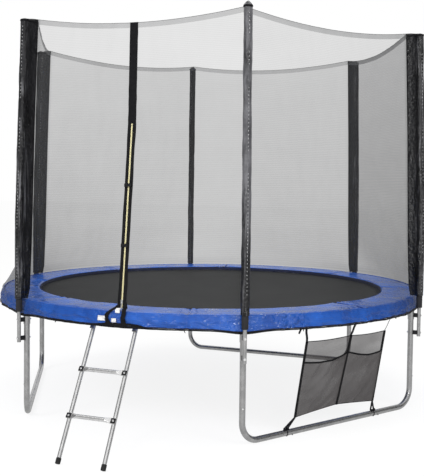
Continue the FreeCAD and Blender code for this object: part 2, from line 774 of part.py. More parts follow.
def ladder_frame():
    """Top point of the ladder plane, and its directions down, out and across."""
    foot_y, foot_z = LADDER_FOOT_Y, level(FOOT_SOLE + FOOT_R * 0.65)
    reach_y, reach_z = foot_y - HINGE_Y, foot_z - HINGE_Z
    distance = math.hypot(reach_y, reach_z)
    turn = math.asin(LADDER_OFFSET / distance)
    bearing = math.atan2(reach_z, reach_y) - turn
    length = distance * math.cos(turn)
    down = Vector(0, math.cos(bearing), math.sin(bearing))
    out = down.cross(Vector(1, 0, 0))
    top = Vector(0, HINGE_Y, HINGE_Z) - out * LADDER_OFFSET
    return top, down, out, length


def ladder_line(side, share):
    """Point on one rail of the ladder, from 0 at its top to 1 at its foot."""
    top, down, _, length = ladder_frame()
    sideways = side * LADDER_WIDTH / 2 + share * LADDER_LEAN
    return top + down * (share * length) + Vector(sideways, 0, 0)


def share_at(height):
    top, down, _, length = ladder_frame()
    return (level(height) - top.z) / (down.z * length)


def ladder_bolt_points(side, share):
    _, _, out, _ = ladder_frame()
    centre = ladder_line(side, share)
    return centre - out * (LADDER_TUBE_R + 8.0), centre + out * (LADDER_TUBE_R + 12.0)


def tongue_share():
    return HOOK_BOLT_DOWN / ladder_frame()[3]


def ladder_rail(side):
    start = LADDER_TOP_SHORT / ladder_frame()[3]
    body = tube(ladder_line(side, start), ladder_line(side, 1.0), LADDER_TUBE_R, LADDER_BORE_R)
    shares = [share_at(height) for height in RUNG_HEIGHTS] + [tongue_share()]
    drills = [rod(*ladder_bolt_points(side, share), BOLT_HOLE_R) for share in shares]
    return body.cut(drills)


def ladder_rung(height):
    """Round rung whose flattened ends lie on the front of the two rails."""
    share = share_at(height)
    _, down, out, _ = ladder_frame()
    middle = ladder_line(0, share) + out * (LADDER_TUBE_R + RUNG_FLAT[1] + RUNG_GAP)
    round_end, flat_start, flat_end = RUNG_REACHES
    nearly_round = (LADDER_TUBE_R, LADDER_TUBE_R - 0.01)
    half = [(round_end, nearly_round), (flat_start, RUNG_FLAT), (flat_end, RUNG_FLAT)]
    sections = [(-reach, size) for reach, size in half[::-1]] + half
    wires = []
    for reach, (wide, thick) in sections:
        centre = middle + Vector(reach, 0, 0)
        ellipse = Part.Ellipse(centre + down * wide, centre + out * thick, centre)
        wires.append(Part.Wire(ellipse.toShape()))
    rung = Part.makeLoft(wires, True, True)
    return rung.cut([rod(*ladder_bolt_points(side, share), BOLT_HOLE_R) for side in (-1, 1)])


def rung_cap(side, height):
    """Square plastic cap that covers a flattened rung end under the bolt head."""
    share = share_at(height)
    _, down, out, _ = ladder_frame()
    surface = ladder_line(side, share) + out * (LADDER_TUBE_R + 2 * RUNG_FLAT[1] + 2 * RUNG_GAP)
    aside = Vector(RUNG_CAP_HALF, 0, 0)
    along = down * RUNG_CAP_HALF
    upper, lower = surface - along, surface + along
    corners = [upper - aside, upper + aside, lower + aside, lower - aside]
    block = Part.Face(Part.makePolygon(corners + corners[:1])).extrude(out * RUNG_CAP_THICKNESS)
    return block.cut(rod(*ladder_bolt_points(side, share), BOLT_HOLE_R))


def ladder_bolt(side, share, cover):
    """Bolt across one rail: head above its cover, shank and end behind."""
    _, _, out, _ = ladder_frame()
    centre = ladder_line(side, share)
    seat = centre + out * (LADDER_TUBE_R + cover)
    end = centre - out * (LADDER_TUBE_R + NUT_THICKNESS + 1.5)
    return rod(end, seat + out * 0.5, BOLT_R).fuse(bolt_dome(seat + out * 0.1, out))


def ladder_nut(side, share):
    _, _, out, _ = ladder_frame()
    base = ladder_line(side, share) - out * (LADDER_TUBE_R + 0.2)
    return hexagon_nut(base, out * -1, BOLT_R)


def ladder_hook(side):
    """Flat hook over the rail from inside, with a tongue bolted on the ladder tube."""
    _, down, out, _ = ladder_frame()
    centre = Vector(side * LADDER_WIDTH / 2 - HOOK_WIDTH / 2, HINGE_Y, HINGE_Z)
    tip = math.radians(HOOK_TIP_DEG)
    tip_way = Vector(0, -math.cos(tip), math.sin(tip))
    inward = out * -1
    middle_way = Vector(0, 0.2, 1).normalize()
    ways = (tip_way, middle_way, inward)
    inner = [centre + way * HOOK_INNER_R for way in ways]
    outer = [centre + way * HOOK_OUTER_R for way in ways]
    inner_end = inner[2] + down * HOOK_TONGUE
    outer_end = outer[2] + down * HOOK_TONGUE
    edges = [
        Part.Arc(*inner).toShape(),
        Part.makeLine(inner[2], inner_end),
        Part.makeLine(inner_end, outer_end),
        Part.makeLine(outer_end, outer[2]),
        Part.Arc(*outer[::-1]).toShape(),
        Part.makeLine(outer[0], inner[0]),
    ]
    bar = Part.Face(Part.Wire(edges)).extrude(Vector(HOOK_WIDTH, 0, 0))
    return bar.cut(rod(*ladder_bolt_points(side, tongue_share()), BOLT_HOLE_R))


def ladder_foot(side):
    """Rubber cup on the lower end of a rail."""
    end = ladder_line(side, 1.0)
    along = (end - ladder_line(side, 0.5)).normalize()
    sole = end + along * FOOT_SOLE
    cup = rod(sole - along * FOOT_LENGTH, sole, FOOT_R)
    return cup.cut(rod(sole - along * (FOOT_LENGTH + 1), end + along * 0.05, LADDER_TUBE_R + 0.05))


# ---------------------------------------------------------------- shoe bag

def bag_point(offset, height, proud=0.0):
    """Point on the leaning plane between the rail and the leg's ground tube."""
    outward, along = bay_direction(BAG_BAY), bay_direction(BAG_BAY + 90.0)
    distance = BAG_LEAN_FOOT + (BAG_LEAN_TOP - BAG_LEAN_FOOT) * height / RAIL_HEIGHT
    return outward * (distance + proud) + along * offset + Vector(0, 0, level(height))


def bag_normal():
    across = bag_point(1, 0) - bag_point(0, 0)
    up = bag_point(0, 100) - bag_point(0, 0)
    return across.cross(up).normalize()


def bag_panel():
    half = BAG_HALF_WIDTH
    outline = [
        (-half, BAG_TOP),
        (half, BAG_TOP),
        (half, BAG_BOTTOM_SIDE),
        (0, BAG_BOTTOM_MIDDLE),
        (-half, BAG_BOTTOM_SIDE),
    ]
    corners = [bag_point(*place) for place in outline]
    return Part.Face(Part.makePolygon(corners + corners[:1])).extrude(bag_normal() * BAG_THICKNESS)


def bag_pocket(side):
    """Bowed front of one pocket, open at the top."""
    near, far = 6.0, BAG_HALF_WIDTH - 4.0
    centre = (near + far) / 2
    rows = []
    for side_height, middle_height, bulge in (
        (POCKET_SIDE, POCKET_MIDDLE, POCKET_BULGE),
        (300.0, 300.0, POCKET_BULGE),
        (BAG_BOTTOM_SIDE + 6.0, BAG_BOTTOM_MIDDLE + 2.0, 8.0),
    ):
        sag = POCKET_SAG if side_height == POCKET_SIDE else 0.0
        middle = (side_height + middle_height) / 2 - sag
        inner_point = bag_point(side * near, middle_height, POCKET_STAND_OFF)
        outer_point = bag_point(side * far, side_height, POCKET_STAND_OFF)
        rows.append((inner_point, bag_point(side * centre, middle, bulge), outer_point))
    return sheet(rows, bag_normal() * BAG_THICKNESS)


def bag_piping():
    edge = BAG_HALF_WIDTH + 2 * PIPING_R
    lines = [
        (bag_point(-edge, BAG_TOP), bag_point(-edge, BAG_BOTTOM_SIDE)),
        (bag_point(edge, BAG_TOP), bag_point(edge, BAG_BOTTOM_SIDE)),
        (bag_point(-edge, BAG_TOP + 6.0), bag_point(edge, BAG_TOP + 6.0)),
        (bag_point(0, BAG_TOP - 4.0, 8.5), bag_point(0, BAG_BOTTOM_MIDDLE, 8.5)),
    ]
    return [rod(start, end, PIPING_R) for start, end in lines]


def bag_straps():
    """Cords from the bag's top edge to the rail and from its foot to the leg."""
    straps = []
    for offset in BAG_STRAP_TOPS:
        angle = BAG_BAY + math.degrees(math.asin(offset / RAIL_RADIUS))
        knot = polar(RAIL_RADIUS, angle, RAIL_HEIGHT - TIE_LOOP_R - 3.0)
        anchor = bag_point(max(-BAG_HALF_WIDTH, min(BAG_HALF_WIDTH, offset)), BAG_TOP + 13.0)
        cord = rod(anchor, knot, TIE_CORD_R)
        straps.append(joined([loop_round_rail(angle), cord, Part.makeSphere(BAG_KNOT_R, knot)]))
    tube_axis = LEG_TUBE_DISTANCE * bay_direction(BAG_BAY) + Vector(0, 0, level(FRAME_TUBE_R))
    along = bay_direction(BAG_BAY + 90.0)
    for offset in BAG_STRAP_FEET:
        centre = tube_axis + along * offset
        ring = Part.makeTorus(TIE_LOOP_R, TIE_CORD_R, centre, along)
        knot = centre + Vector(0, 0, TIE_LOOP_R + 2.0)
        side = -1 if offset < 0 else 1
        anchor = bag_point(side * (BAG_HALF_WIDTH + 2 * PIPING_R), BAG_BOTTOM_SIDE - 7.0)
        straps.append(joined([ring, Part.makeSphere(TIE_KNOT_R, knot), rod(knot, anchor, TIE_CORD_R)]))
    return straps


# ---------------------------------------------------------------- writing

os.makedirs("parts", exist_ok=True)

for number, pole_angle in enumerate(POLE_ANGLES, start=1):
    save("rail_segment_%d" % number, [rail_segment(pole_angle)])
    save("leg_upright_%d" % number, [leg_upright(pole_angle)])
    save("pole_lower_%d" % number, [pole_lower(pole_angle)])
    save("pole_upper_%d" % number, [pole_upper(pole_angle)])
for number, leg_bay in enumerate(LEG_BAYS, start=1):
    save("leg_base_%d" % number, [leg_base(leg_bay)])

save("pole_foam_sleeves", [pole_foam(angle) for angle in POLE_ANGLES])
save("pole_caps", [pole_cap(angle) for angle in POLE_ANGLES])
pole_places = [(angle, height) for angle in POLE_ANGLES for height in POLE_BOLT_HEIGHTS]
save("pole_spacers", [pole_spacer(*place) for place in pole_places])
save("pole_bolts_and_nuts", [make(*place) for place in pole_places for make in (pole_bolt, pole_nut)])
rail_screws = [rail_screw(joint) for joint in BAY_ANGLES]
save("frame_screws", rail_screws + [leg_screw(angle) for angle in POLE_ANGLES])

save("jumping_mat", [jumping_mat()])
save("mat_hem", [mat_hem()])
one_ring, one_spring = mat_ring(), spring()
save("mat_rings", [turned(one_ring, angle) for angle in spring_angles()])
save("springs", [turned(one_spring, angle) for angle in spring_angles()])

save("pad_foam", [pad_section(number) for number in range(PAD_SECTIONS)])
save("pad_cover", [cover_section(number) for number in range(PAD_SECTIONS)])
save("pad_ties", [pad_tie(angle) for angle in TIE_ANGLES])

save("net_panels", [net_panel(bay) for bay in BAY_ANGLES])
save("net_top_band", [top_band(bay) for bay in BAY_ANGLES])
save("net_pole_pockets", [pole_pocket(angle) for angle in POLE_ANGLES])
save("net_hem_cord", [net_hem_cord(bay) for bay in BAY_ANGLES])

save("zip_tape", zip_tape())
save("zip_coil", [zip_coil()])
save("zip_slider", [zip_slider()])
save("buckle_sockets", [buckle_socket(height) for height in BUCKLE_HEIGHTS])
save("buckle_prong_upper", [buckle_prong(BUCKLE_HEIGHTS[0])])
save("buckle_prong_lower", [buckle_prong(BUCKLE_HEIGHTS[1])])

save("ladder_rail_left", [ladder_rail(-1)])
save("ladder_rail_right", [ladder_rail(1)])
save("ladder_rungs", [ladder_rung(height) for height in RUNG_HEIGHTS])
save("ladder_hooks", [ladder_hook(side) for side in (-1, 1)])
save("ladder_feet", [ladder_foot(side) for side in (-1, 1)])
save("ladder_rung_caps", [rung_cap(side, height) for side in (-1, 1) for height in RUNG_HEIGHTS])

rung_cover = 2 * RUNG_FLAT[1] + 2 * RUNG_GAP + RUNG_CAP_THICKNESS
rung_places = [(side, share_at(height), rung_cover) for side in (-1, 1) for height in RUNG_HEIGHTS]
hook_places = [(side, tongue_share(), LADDER_OFFSET - LADDER_TUBE_R - HOOK_INNER_R) for side in (-1, 1)]
ladder_bolts = [ladder_bolt(*place) for place in rung_places + hook_places]
ladder_nuts = [ladder_nut(side, share) for side, share, _ in rung_places + hook_places]
save("ladder_bolts_and_nuts", ladder_bolts + ladder_nuts)

save("shoe_bag_panel", [bag_panel()])
save("shoe_bag_pockets", [bag_pocket(side) for side in (-1, 1)])
save("shoe_bag_piping", bag_piping())
save("shoe_bag_straps", bag_straps())
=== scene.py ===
import math

import bmesh
import bpy
import numpy as np
from mathutils import Matrix, Vector, noise


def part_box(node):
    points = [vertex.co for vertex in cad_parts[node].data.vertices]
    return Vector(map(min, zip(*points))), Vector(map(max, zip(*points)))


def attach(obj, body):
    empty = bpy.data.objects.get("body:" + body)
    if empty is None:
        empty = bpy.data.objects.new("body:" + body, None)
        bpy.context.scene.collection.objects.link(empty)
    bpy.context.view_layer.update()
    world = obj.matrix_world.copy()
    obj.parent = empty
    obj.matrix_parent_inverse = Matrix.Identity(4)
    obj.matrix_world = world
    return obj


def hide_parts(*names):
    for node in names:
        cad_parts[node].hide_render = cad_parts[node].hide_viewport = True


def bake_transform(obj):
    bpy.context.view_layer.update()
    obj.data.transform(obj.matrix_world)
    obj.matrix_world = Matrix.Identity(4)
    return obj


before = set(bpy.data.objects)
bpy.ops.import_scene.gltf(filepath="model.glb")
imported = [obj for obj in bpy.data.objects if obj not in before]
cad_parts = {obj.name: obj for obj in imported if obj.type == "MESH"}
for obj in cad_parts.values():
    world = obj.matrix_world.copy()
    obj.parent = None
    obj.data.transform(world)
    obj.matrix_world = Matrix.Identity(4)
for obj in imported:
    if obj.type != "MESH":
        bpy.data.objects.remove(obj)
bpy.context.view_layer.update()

# ------------------------------------------------------------------ driving sizes
# Metres, in the frame's own axes: the mat's top face is z = 0 and the door faces -Y.

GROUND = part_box("leg_base_2")[0].z
RAIL_TUBE_R = 0.019
RAIL_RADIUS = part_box("leg_upright_3")[1].x - RAIL_TUBE_R
RAIL_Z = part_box("rail_segment_3")[1].z - RAIL_TUBE_R
MAT_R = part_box("jumping_mat")[1].x
HEM_LOW, HEM_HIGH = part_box("mat_hem")
PAD_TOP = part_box("pad_foam")[1].z + 0.002
PAD_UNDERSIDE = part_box("pad_foam")[0].z - 0.001
PAD_INNER = MAT_R + 0.0125
PAD_SWELL = 0.0065
SKIRT_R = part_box("pad_cover")[1].x
SKIRT_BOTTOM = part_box("pad_cover")[0].z
CORD_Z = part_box("net_hem_cord")[0].z + 0.003
CORD_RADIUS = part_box("net_hem_cord")[1].x - 0.003
NET_BOTTOM_R = SKIRT_R + 0.0018
NET_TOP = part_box("net_top_band")[1].z
POCKET_LOW, POCKET_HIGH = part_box("net_pole_pockets")
POLE_FOOT_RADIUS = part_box("pole_lower_3")[1].x - 0.0125
POLE_LEAN_START = 1.300 + GROUND
POLE_TOP_Z = 2.562 + GROUND
POLE_TOP_RADIUS = POLE_FOOT_RADIUS - 0.0387
FOAM_R = 0.021
FOAM_BORE_R = 0.0128
SLEEVE_R = FOAM_R + 0.0050
FIN_HALF_THICKNESS = 0.0011
BAND_HEIGHT = 0.033
BAND_SAG = 0.056
STITCH_PITCH = 0.0225
STITCH_LENGTH = 0.0080
POLE_ANGLES = [-120, -60, 0, 60, 120, 180]
FRONT_POLE = -60
BAY_ANGLES = [-90, -30, 30, 90, 150, 210]
SPRING_ANGLES = [-87 + 6 * number for number in range(60)]
PAD_TIE_ANGLES = [-107, -73, -46, -14, 14, 46, 74, 106, 134, 166, 194, 226]
DOOR_BAY = -90
BAG_BAY = -30
PAD_SECTIONS = 8
PAD_FIRST_SEAM = -72.5
SKIRT_EDGE = SKIRT_R - 0.013
# lower reach of the skirt and the net's foot beside single poles
POLE_DROOPS = {-120: 0.016, -60: 0.019, 0: 0.002, 60: 0.008, 120: 0.010, 180: 0.010}
# height of the cloth dome over each pole's cap
CROWN_RISES = {-120: 0.009, -60: 0.026, 0: 0.009, 60: 0.018, 120: 0.022, 180: 0.014}
# direction of the stitched seam on each pole's pocket, from the outward direction; set per pole where the
# sleeve glints towards the camera
SEAM_TURNS = {-120: 36.0, -60: 8.0, 0: -49.0, 60: 150.0, 120: 150.0, 180: 150.0}
# (direction, half width in degrees, height) of the larger bulges in the pad's top
PAD_BULGES = [
    (-27.0, 5.0, 0.0075),
    (-97.0, 6.0, 0.006),
    (-112.0, 5.0, 0.003),
    (17.0, 5.0, 0.006),
    (107.0, 5.0, 0.005),
]

CAMERA_PLACE = (2.548, -6.091, 1.582 + GROUND)
CAMERA_AZIMUTH = 111.49
CAMERA_PITCH = -2.876
CAMERA_ROLL = 0.727
CAMERA_LENS = 66.24
CAMERA_SHIFT = (-0.039, -0.033)

# (height, distance from the centre) of the fin's inner edge on every pole
FIN_EDGE = [(0.787, 1.500), (0.850, 1.487), (1.150, 1.474), (1.900, 1.455), (2.590, 1.430)]
# (height, distance at the poles, distance midway) of the net between two poles
NET_ROWS = [
    (0.792, 1.530, 1.531),
    (0.801, 1.519, 1.520),
    (0.850, 1.489, 1.487),
    (0.950, 1.483, 1.430),
    (1.150, 1.474, 1.335),
    (1.400, 1.468, 1.290),
    (1.900, 1.455, 1.262),
    (2.590, 1.430, 1.240),
]
ZIP_LOW = Vector((0.056, -1.505, 0.801 + GROUND))
ZIP_HIGH = Vector((-0.013, -1.260, 1.911 + GROUND))
TAPE_HALF = 0.028
TAPE_FRONT = 0.0054
# (direction, height) along the bound edges of the door's two flaps, below the zip
FLAP_EDGES = [
    [(-88.2, 0.082), (-88.9, 0.060), (-89.8, 0.040), (-90.8, 0.020),
     (-91.2, 0.000), (-91.1, -0.022), (-90.6, -0.040), (-89.6, -0.056)],
    [(-87.4, 0.084), (-87.1, 0.060), (-86.95, 0.040), (-86.95, 0.018),
     (-87.05, -0.006), (-87.0, -0.028), (-86.8, -0.046), (-86.4, -0.056)],
]
# (direction, lower height, upper height, half width in degrees) of the plain cloth labels
LABELS = [(-92.4, -0.029, 0.000, 0.92), (-88.5, 0.022, 0.050, 0.55), (-89.2, -0.034, -0.010, 0.6)]


# shoe bag: half its width, heights of its edges, and the plane it hangs in
BAG_HALF = 0.350
BAG_TOP = 0.597
BAG_FOOT = 0.142
BAG_TUBE_RADIUS = 1.3042
BAG_RAIL_RADIUS = 1.450
BAG_RAIL_HEIGHT = 0.740
BAG_SEAM_LEAN = 0.032
# where the bag's cords are tied to the rail, and the bag's edges that they hold
BAG_TIES = [(-0.388, -BAG_HALF), (0.006, 0.0), (0.400, BAG_HALF)]


# ------------------------------------------------------------------ small helpers

def polar(radius, degrees, z):
    turn = math.radians(degrees)
    return Vector((radius * math.cos(turn), radius * math.sin(turn), z))


def axes(degrees):
    """Unit directions away from the centre line and along the rail."""
    return polar(1, degrees, 0), polar(1, degrees + 90, 0)


def turn_between(degrees, angle):
    """Degrees from angle to degrees, from -180 to 180."""
    return (degrees - angle + 180.0) % 360.0 - 180.0


def smooth(value):
    value = min(1.0, max(0.0, value))
    return value * value * (3 - 2 * value)


def wobble(x, y, z, scale):
    """Smooth noise from -1 to 1, the same on every run."""
    return noise.noise(Vector((x, y, z)) * scale)


def table_value(rows, z, column):
    """Interpolates a column of (height above the ground, ...) rows at row z."""
    heights = [row[0] for row in rows]
    return float(np.interp(z - GROUND, heights, [row[column] for row in rows]))


def distances(points):
    """Distance along a row of points, from its start to each of them."""
    total = [0.0]
    for first, second in zip(points, points[1:]):
        total.append(total[-1] + (second - first).length)
    return total


class Shape:
    """Collects grids and tubes, then becomes one piece."""

    def __init__(self):
        self.points = []
        self.faces = []
        self.metres = []
        self.looks = []

    def grid(self, rows, wrap=False, look=0, flip=False):
        """Rows of equally many points, joined by quads. wrap closes each row on itself."""
        base = len(self.points)
        count = len(rows[0])
        for row in rows:
            self.points.extend(row)
        along = distances([row[count // 2] for row in rows])
        middle_row = rows[len(rows) // 2]
        across = distances(middle_row + middle_row[:1])
        for i in range(len(rows) - 1):
            for j in range(count if wrap else count - 1):
                k = (j + 1) % count
                corners = [(i, j, j), (i, k, j + 1), (i + 1, k, j + 1), (i + 1, j, j)]
                if flip:
                    corners.reverse()
                self.faces.append([base + a * count + b for a, b, _ in corners])
                self.metres.append([(along[a], across[c]) for a, _, c in corners])
                self.looks.append(look)
        return base

    def fan(self, indices, look=0):
        self.faces.append(list(indices))
        self.metres.append([(0.0, 0.0)] * len(indices))
        self.looks.append(look)

    def tube(self, path, radius, sides=8, closed=False, look=0, flat=1.0, up=(0, 0, 1)):
        """Round or flattened bar along a path; flat scales its size towards up."""
        path = [Vector(point) for point in path]
        count = len(path)
        rows = []
        normal = None
        for i, point in enumerate(path):
            ahead = path[(i + 1) % count] if closed or i < count - 1 else point
            behind = path[i - 1] if closed or i > 0 else point
            tangent = (ahead - behind).normalized()
            if normal is None:
                normal = Vector(up)
                if abs(tangent.dot(normal)) > 0.9:
                    normal = Vector((1, 0, 0))
            normal = (normal - tangent * tangent.dot(normal)).normalized()
            side = tangent.cross(normal)
            size = radius(i / (count - 1)) if callable(radius) else radius
            turns = [2 * math.pi * j / sides for j in range(sides)]
            rows.append([point + (normal * (flat * math.cos(t)) + side * math.sin(t)) * size for t in turns])
        if closed:
            rows.append([point.copy() for point in rows[0]])
            return self.grid(rows, True, look)
        base = self.grid(rows, True, look)
        self.fan([base + j for j in range(sides)][::-1], look)
        self.fan([base + (count - 1) * sides + j for j in range(sides)], look)
        return base

    def piece(self, name, looks, body="frame", slot=None, replaces=(), faceted=False):
        mesh = bpy.data.meshes.new(name)
        mesh.from_pydata([tuple(point) for point in self.points], [], self.faces)
        layer = mesh.uv_layers.new(name="metres")
        flat = [value for face in self.metres for pair in face for value in pair]
        layer.data.foreach_set("uv", flat)
        for look in looks if isinstance(looks, (list, tuple)) else [looks]:
            mesh.materials.append(look)
        mesh.polygons.foreach_set("material_index", self.looks)
        mesh.polygons.foreach_set("use_smooth", [not faceted] * len(self.faces))
        merge_doubles(mesh)
        built = bpy.data.objects.new(name, mesh)
        bpy.context.scene.collection.objects.link(built)
        if body:
            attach(built, body)
        if replaces:
            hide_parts(*replaces)
        return built


def merge_doubles(mesh, distance=1e-5):
    work = bmesh.new()
    work.from_mesh(mesh)
    bmesh.ops.remove_doubles(work, verts=work.verts, dist=distance)
    bmesh.ops.recalc_face_normals(work, faces=work.faces)
    work.to_mesh(mesh)
    work.free()


# ------------------------------------------------------------------ material nodes

class Look:
    """One node material, built by short calls that return sockets."""

    def __init__(self, name, colour, roughness, metallic=0.0):
        self.material = bpy.data.materials.new(name)
        self.material.use_nodes = True
        self.nodes = self.material.node_tree.nodes
        self.links = self.material.node_tree.links
        self.surface = self.nodes["Principled BSDF"]
        self.set("Base Color", (*colour, 1.0))
        self.set("Roughness", roughness)
        self.set("Metallic", metallic)

    def feed(self, socket, value):
        if isinstance(value, bpy.types.NodeSocket):
            self.links.new(value, socket)
        elif isinstance(value, (tuple, list)) and len(value) == 3 and socket.type == "RGBA":
            socket.default_value = (*value, 1.0)
        else:
            socket.default_value = value

    def set(self, name, value):
        self.feed(self.surface.inputs[name], value)

    def place(self, stretch=(1, 1, 1), uv=False):
        """Object position in metres, or the metres along and across a built piece."""
        if uv:
            source = self.nodes.new("ShaderNodeUVMap")
            source.uv_map = "metres"
            socket = source.outputs["UV"]
        else:
            socket = self.nodes.new("ShaderNodeTexCoord").outputs["Object"]
        scale = self.nodes.new("ShaderNodeMapping")
        scale.inputs["Scale"].default_value = stretch
        self.links.new(socket, scale.inputs["Vector"])
        return scale.outputs["Vector"]

    def noise(self, scale, detail=3.0, place=None, roughness=0.55):
        node = self.nodes.new("ShaderNodeTexNoise")
        node.inputs["Scale"].default_value = scale
        node.inputs["Detail"].default_value = detail
        node.inputs["Roughness"].default_value = roughness
        self.links.new(place or self.place(), node.inputs["Vector"])
        return node.outputs["Fac"]

    def cells(self, scale, place=None, feature="F1"):
        node = self.nodes.new("ShaderNodeTexVoronoi")
        node.feature = feature
        node.inputs["Scale"].default_value = scale
        self.links.new(place or self.place(), node.inputs["Vector"])
        return node.outputs["Distance"]

    def bands(self, pitch, axis="X", place=None, wavy=0.0):
        """Sine bands, one per pitch metres."""
        node = self.nodes.new("ShaderNodeTexWave")
        node.bands_direction = axis
        node.inputs["Scale"].default_value = 2 * math.pi / 20 / pitch
        node.inputs["Distortion"].default_value = wavy
        self.links.new(place or self.place(), node.inputs["Vector"])
        return node.outputs["Fac"]

    def towards(self, degrees):
        """How far the point lies from the trampoline's axis in one direction."""
        node = self.nodes.new("ShaderNodeVectorMath")
        node.operation = "DOT_PRODUCT"
        node.inputs[1].default_value = polar(1, degrees, 0)
        self.links.new(self.place(), node.inputs[0])
        return node.outputs["Value"]

    def part(self, axis):
        node = self.nodes.new("ShaderNodeSeparateXYZ")
        self.links.new(self.place(), node.inputs[0])
        return node.outputs[axis]

    def maths(self, operation, first, second=0.0):
        node = self.nodes.new("ShaderNodeMath")
        node.operation = operation
        self.feed(node.inputs[0], first)
        self.feed(node.inputs[1], second)
        return node.outputs[0]

    def span(self, value, low, high, to_low=0.0, to_high=1.0):
        node = self.nodes.new("ShaderNodeMapRange")
        self.feed(node.inputs["Value"], value)
        for name, bound in zip(("From Min", "From Max", "To Min", "To Max"), (low, high, to_low, to_high)):
            node.inputs[name].default_value = bound
        return node.outputs["Result"]

    def mix(self, share, low, high):
        node = self.nodes.new("ShaderNodeMix")
        node.data_type = "RGBA"
        self.feed(node.inputs[0], share)
        self.feed(node.inputs[6], low)
        self.feed(node.inputs[7], high)
        return node.outputs[2]

    def toned(self, share, dark, light):
        """Colours the surface from dark to light."""
        self.set("Base Color", self.mix(share, dark, light))

    def weave(self, pitch, uv=True):
        """Over-and-under height of a plain weave."""
        place = self.place(uv=uv)
        along, across = self.bands(pitch, "X", place), self.bands(pitch, "Y", place)
        return self.maths("MULTIPLY", along, across)

    def bump(self, height, strength=0.3, distance=0.001, under=None):
        node = self.nodes.new("ShaderNodeBump")
        node.inputs["Strength"].default_value = strength
        node.inputs["Distance"].default_value = distance
        self.links.new(height, node.inputs["Height"])
        if under is not None:
            self.links.new(under, node.inputs["Normal"])
        self.links.new(node.outputs["Normal"], self.surface.inputs["Normal"])
        return node.outputs["Normal"]

    def see_through(self, cover):
        """Lets the background show where the cloth's holes are, less so at a glance."""
        facing = self.nodes.new("ShaderNodeLayerWeight")
        facing.inputs["Blend"].default_value = 0.5
        cosine = self.maths("MAXIMUM", self.maths("SUBTRACT", 1.0, facing.outputs["Facing"]), 0.42)
        depth = self.maths("DIVIDE", 1.0, cosine)
        open_share = self.maths("POWER", self.maths("SUBTRACT", 1.0, cover), depth)
        self.set("Alpha", self.maths("SUBTRACT", 1.0, open_share))


def steel_look(name, tone_low, tone_high):
    look = Look(name, (tone_low,) * 3, 0.35, 0.85)
    spangle = look.cells(190.0)
    cloud = look.noise(24.0, 5.0)
    streak = look.noise(9.0, 4.0, look.place((6, 6, 0.6)))
    tone = look.maths("ADD", look.maths("MULTIPLY", spangle, 0.2), look.maths("MULTIPLY", cloud, 0.8))
    look.toned(look.span(tone, 0.2, 0.75), (tone_low,) * 3, (tone_high,) * 3)
    look.set("Roughness", look.span(streak, 0.3, 0.7, 0.24, 0.36))
    look.bump(look.maths("ADD", spangle, streak), 0.05, 0.0001)
    return look.material


def small_metal_look(name, scale, low, high, polish, grain):
    """Bright metal; polish is its roughness range, grain the scale and strength of its bumps."""
    look = Look(name, (low,) * 3, polish[0], 1.0)
    tone = look.noise(scale)
    look.toned(tone, (low,) * 3, (high, high, high - 0.01))
    look.set("Roughness", look.span(tone, 0.3, 0.7, *polish))
    look.bump(look.noise(grain[0], 2.0), grain[1], 0.0002)
    return look.material


def moulded_look(name, colour, roughness, grain=1200.0):
    look = Look(name, colour, roughness)
    tone = look.noise(30.0, 4.0)
    lighter = tuple(channel * 1.7 + 0.003 for channel in colour)
    look.toned(look.span(tone, 0.35, 0.75), colour, lighter)
    look.set("Roughness", look.span(tone, 0.3, 0.7, roughness - 0.08, roughness + 0.1))
    look.set("Specular IOR Level", 0.2)
    look.bump(look.noise(grain, 3.0), 0.25, 0.0002)
    return look.material


def foam_look():
    look = Look("pole_foam", (0.02, 0.02, 0.022), 0.8)
    cells = look.cells(520.0)
    tone = look.noise(14.0, 5.0)
    look.toned(tone, (0.013, 0.013, 0.015), (0.034, 0.034, 0.038))
    look.set("Specular IOR Level", 0.2)
    look.bump(cells, 0.5, 0.0006)
    return look.material


def pocket_look():
    """Black crinkled cloth, with painted highlights: grey streaks down its round part and a lighter grey on
    the front pole's middle height.
    """
    look = Look("black_fabric", (0.016, 0.016, 0.019), 0.42)
    tone = look.noise(22.0, 6.0, look.place((1, 1, 0.25)))
    dark = look.mix(look.span(tone, 0.35, 0.7), (0.003, 0.003, 0.0035), (0.011, 0.011, 0.013))
    # painted highlights: grey streaks, kept to the sleeve's round part, stand in for its gloss
    squares = [look.maths("POWER", look.maths("ABSOLUTE", look.part(axis)), 2.0) for axis in ("X", "Y")]
    away = look.maths("SQRT", look.maths("ADD", *squares))
    highlight_streak_noise = look.noise(95.0, 3.0, look.place((1, 1, 0.03)))
    patches = look.noise(7.0, 4.0, look.place((1, 1, 0.5)))
    streaks = look.maths("MULTIPLY", look.span(highlight_streak_noise, 0.52, 0.62), look.span(patches, 0.42, 0.6))
    streaks = look.maths("MULTIPLY", streaks, look.span(away, 1.492, 1.515))
    height = look.span(look.part("Z"), 0.35, 0.75)
    # painted highlight: the front pole's middle height is made lighter grey, standing in for its sheen
    front = look.maths("MULTIPLY", look.span(look.towards(FRONT_POLE), 1.435, 1.475), height)
    dark_with_front_highlight = look.mix(look.maths("MULTIPLY", front, look.span(tone, 0.3, 0.62)), dark, (0.13, 0.13, 0.14))
    look.toned(streaks, dark_with_front_highlight, (0.14, 0.14, 0.15))
    look.set("Roughness", look.span(tone, 0.35, 0.7, 0.26, 0.5))
    worn = look.noise(0.9, 2.0, look.place((1, 1, 0.1)))
    look.set("Specular IOR Level", look.span(worn, 0.35, 0.65, 0.22, 0.6))
    crinkle = look.maths("ADD", look.noise(70.0, 5.0, look.place((1, 1, 0.4))), look.cells(48.0))
    folds = look.bump(crinkle, 0.8, 0.005)
    look.bump(look.weave(0.0024), 0.25, 0.0004, folds)
    return look.material


def webbing_look(name, dark, light, pitch=0.0022):
    look = Look(name, dark, 0.75)
    tone = look.noise(45.0, 4.0)
    look.toned(tone, dark, light)
    look.set("Specular IOR Level", 0.12)
    worn = look.bump(look.noise(240.0, 3.0), 0.3, 0.0006)
    look.bump(look.weave(pitch), 0.6, 0.0006, worn)
    return look.material


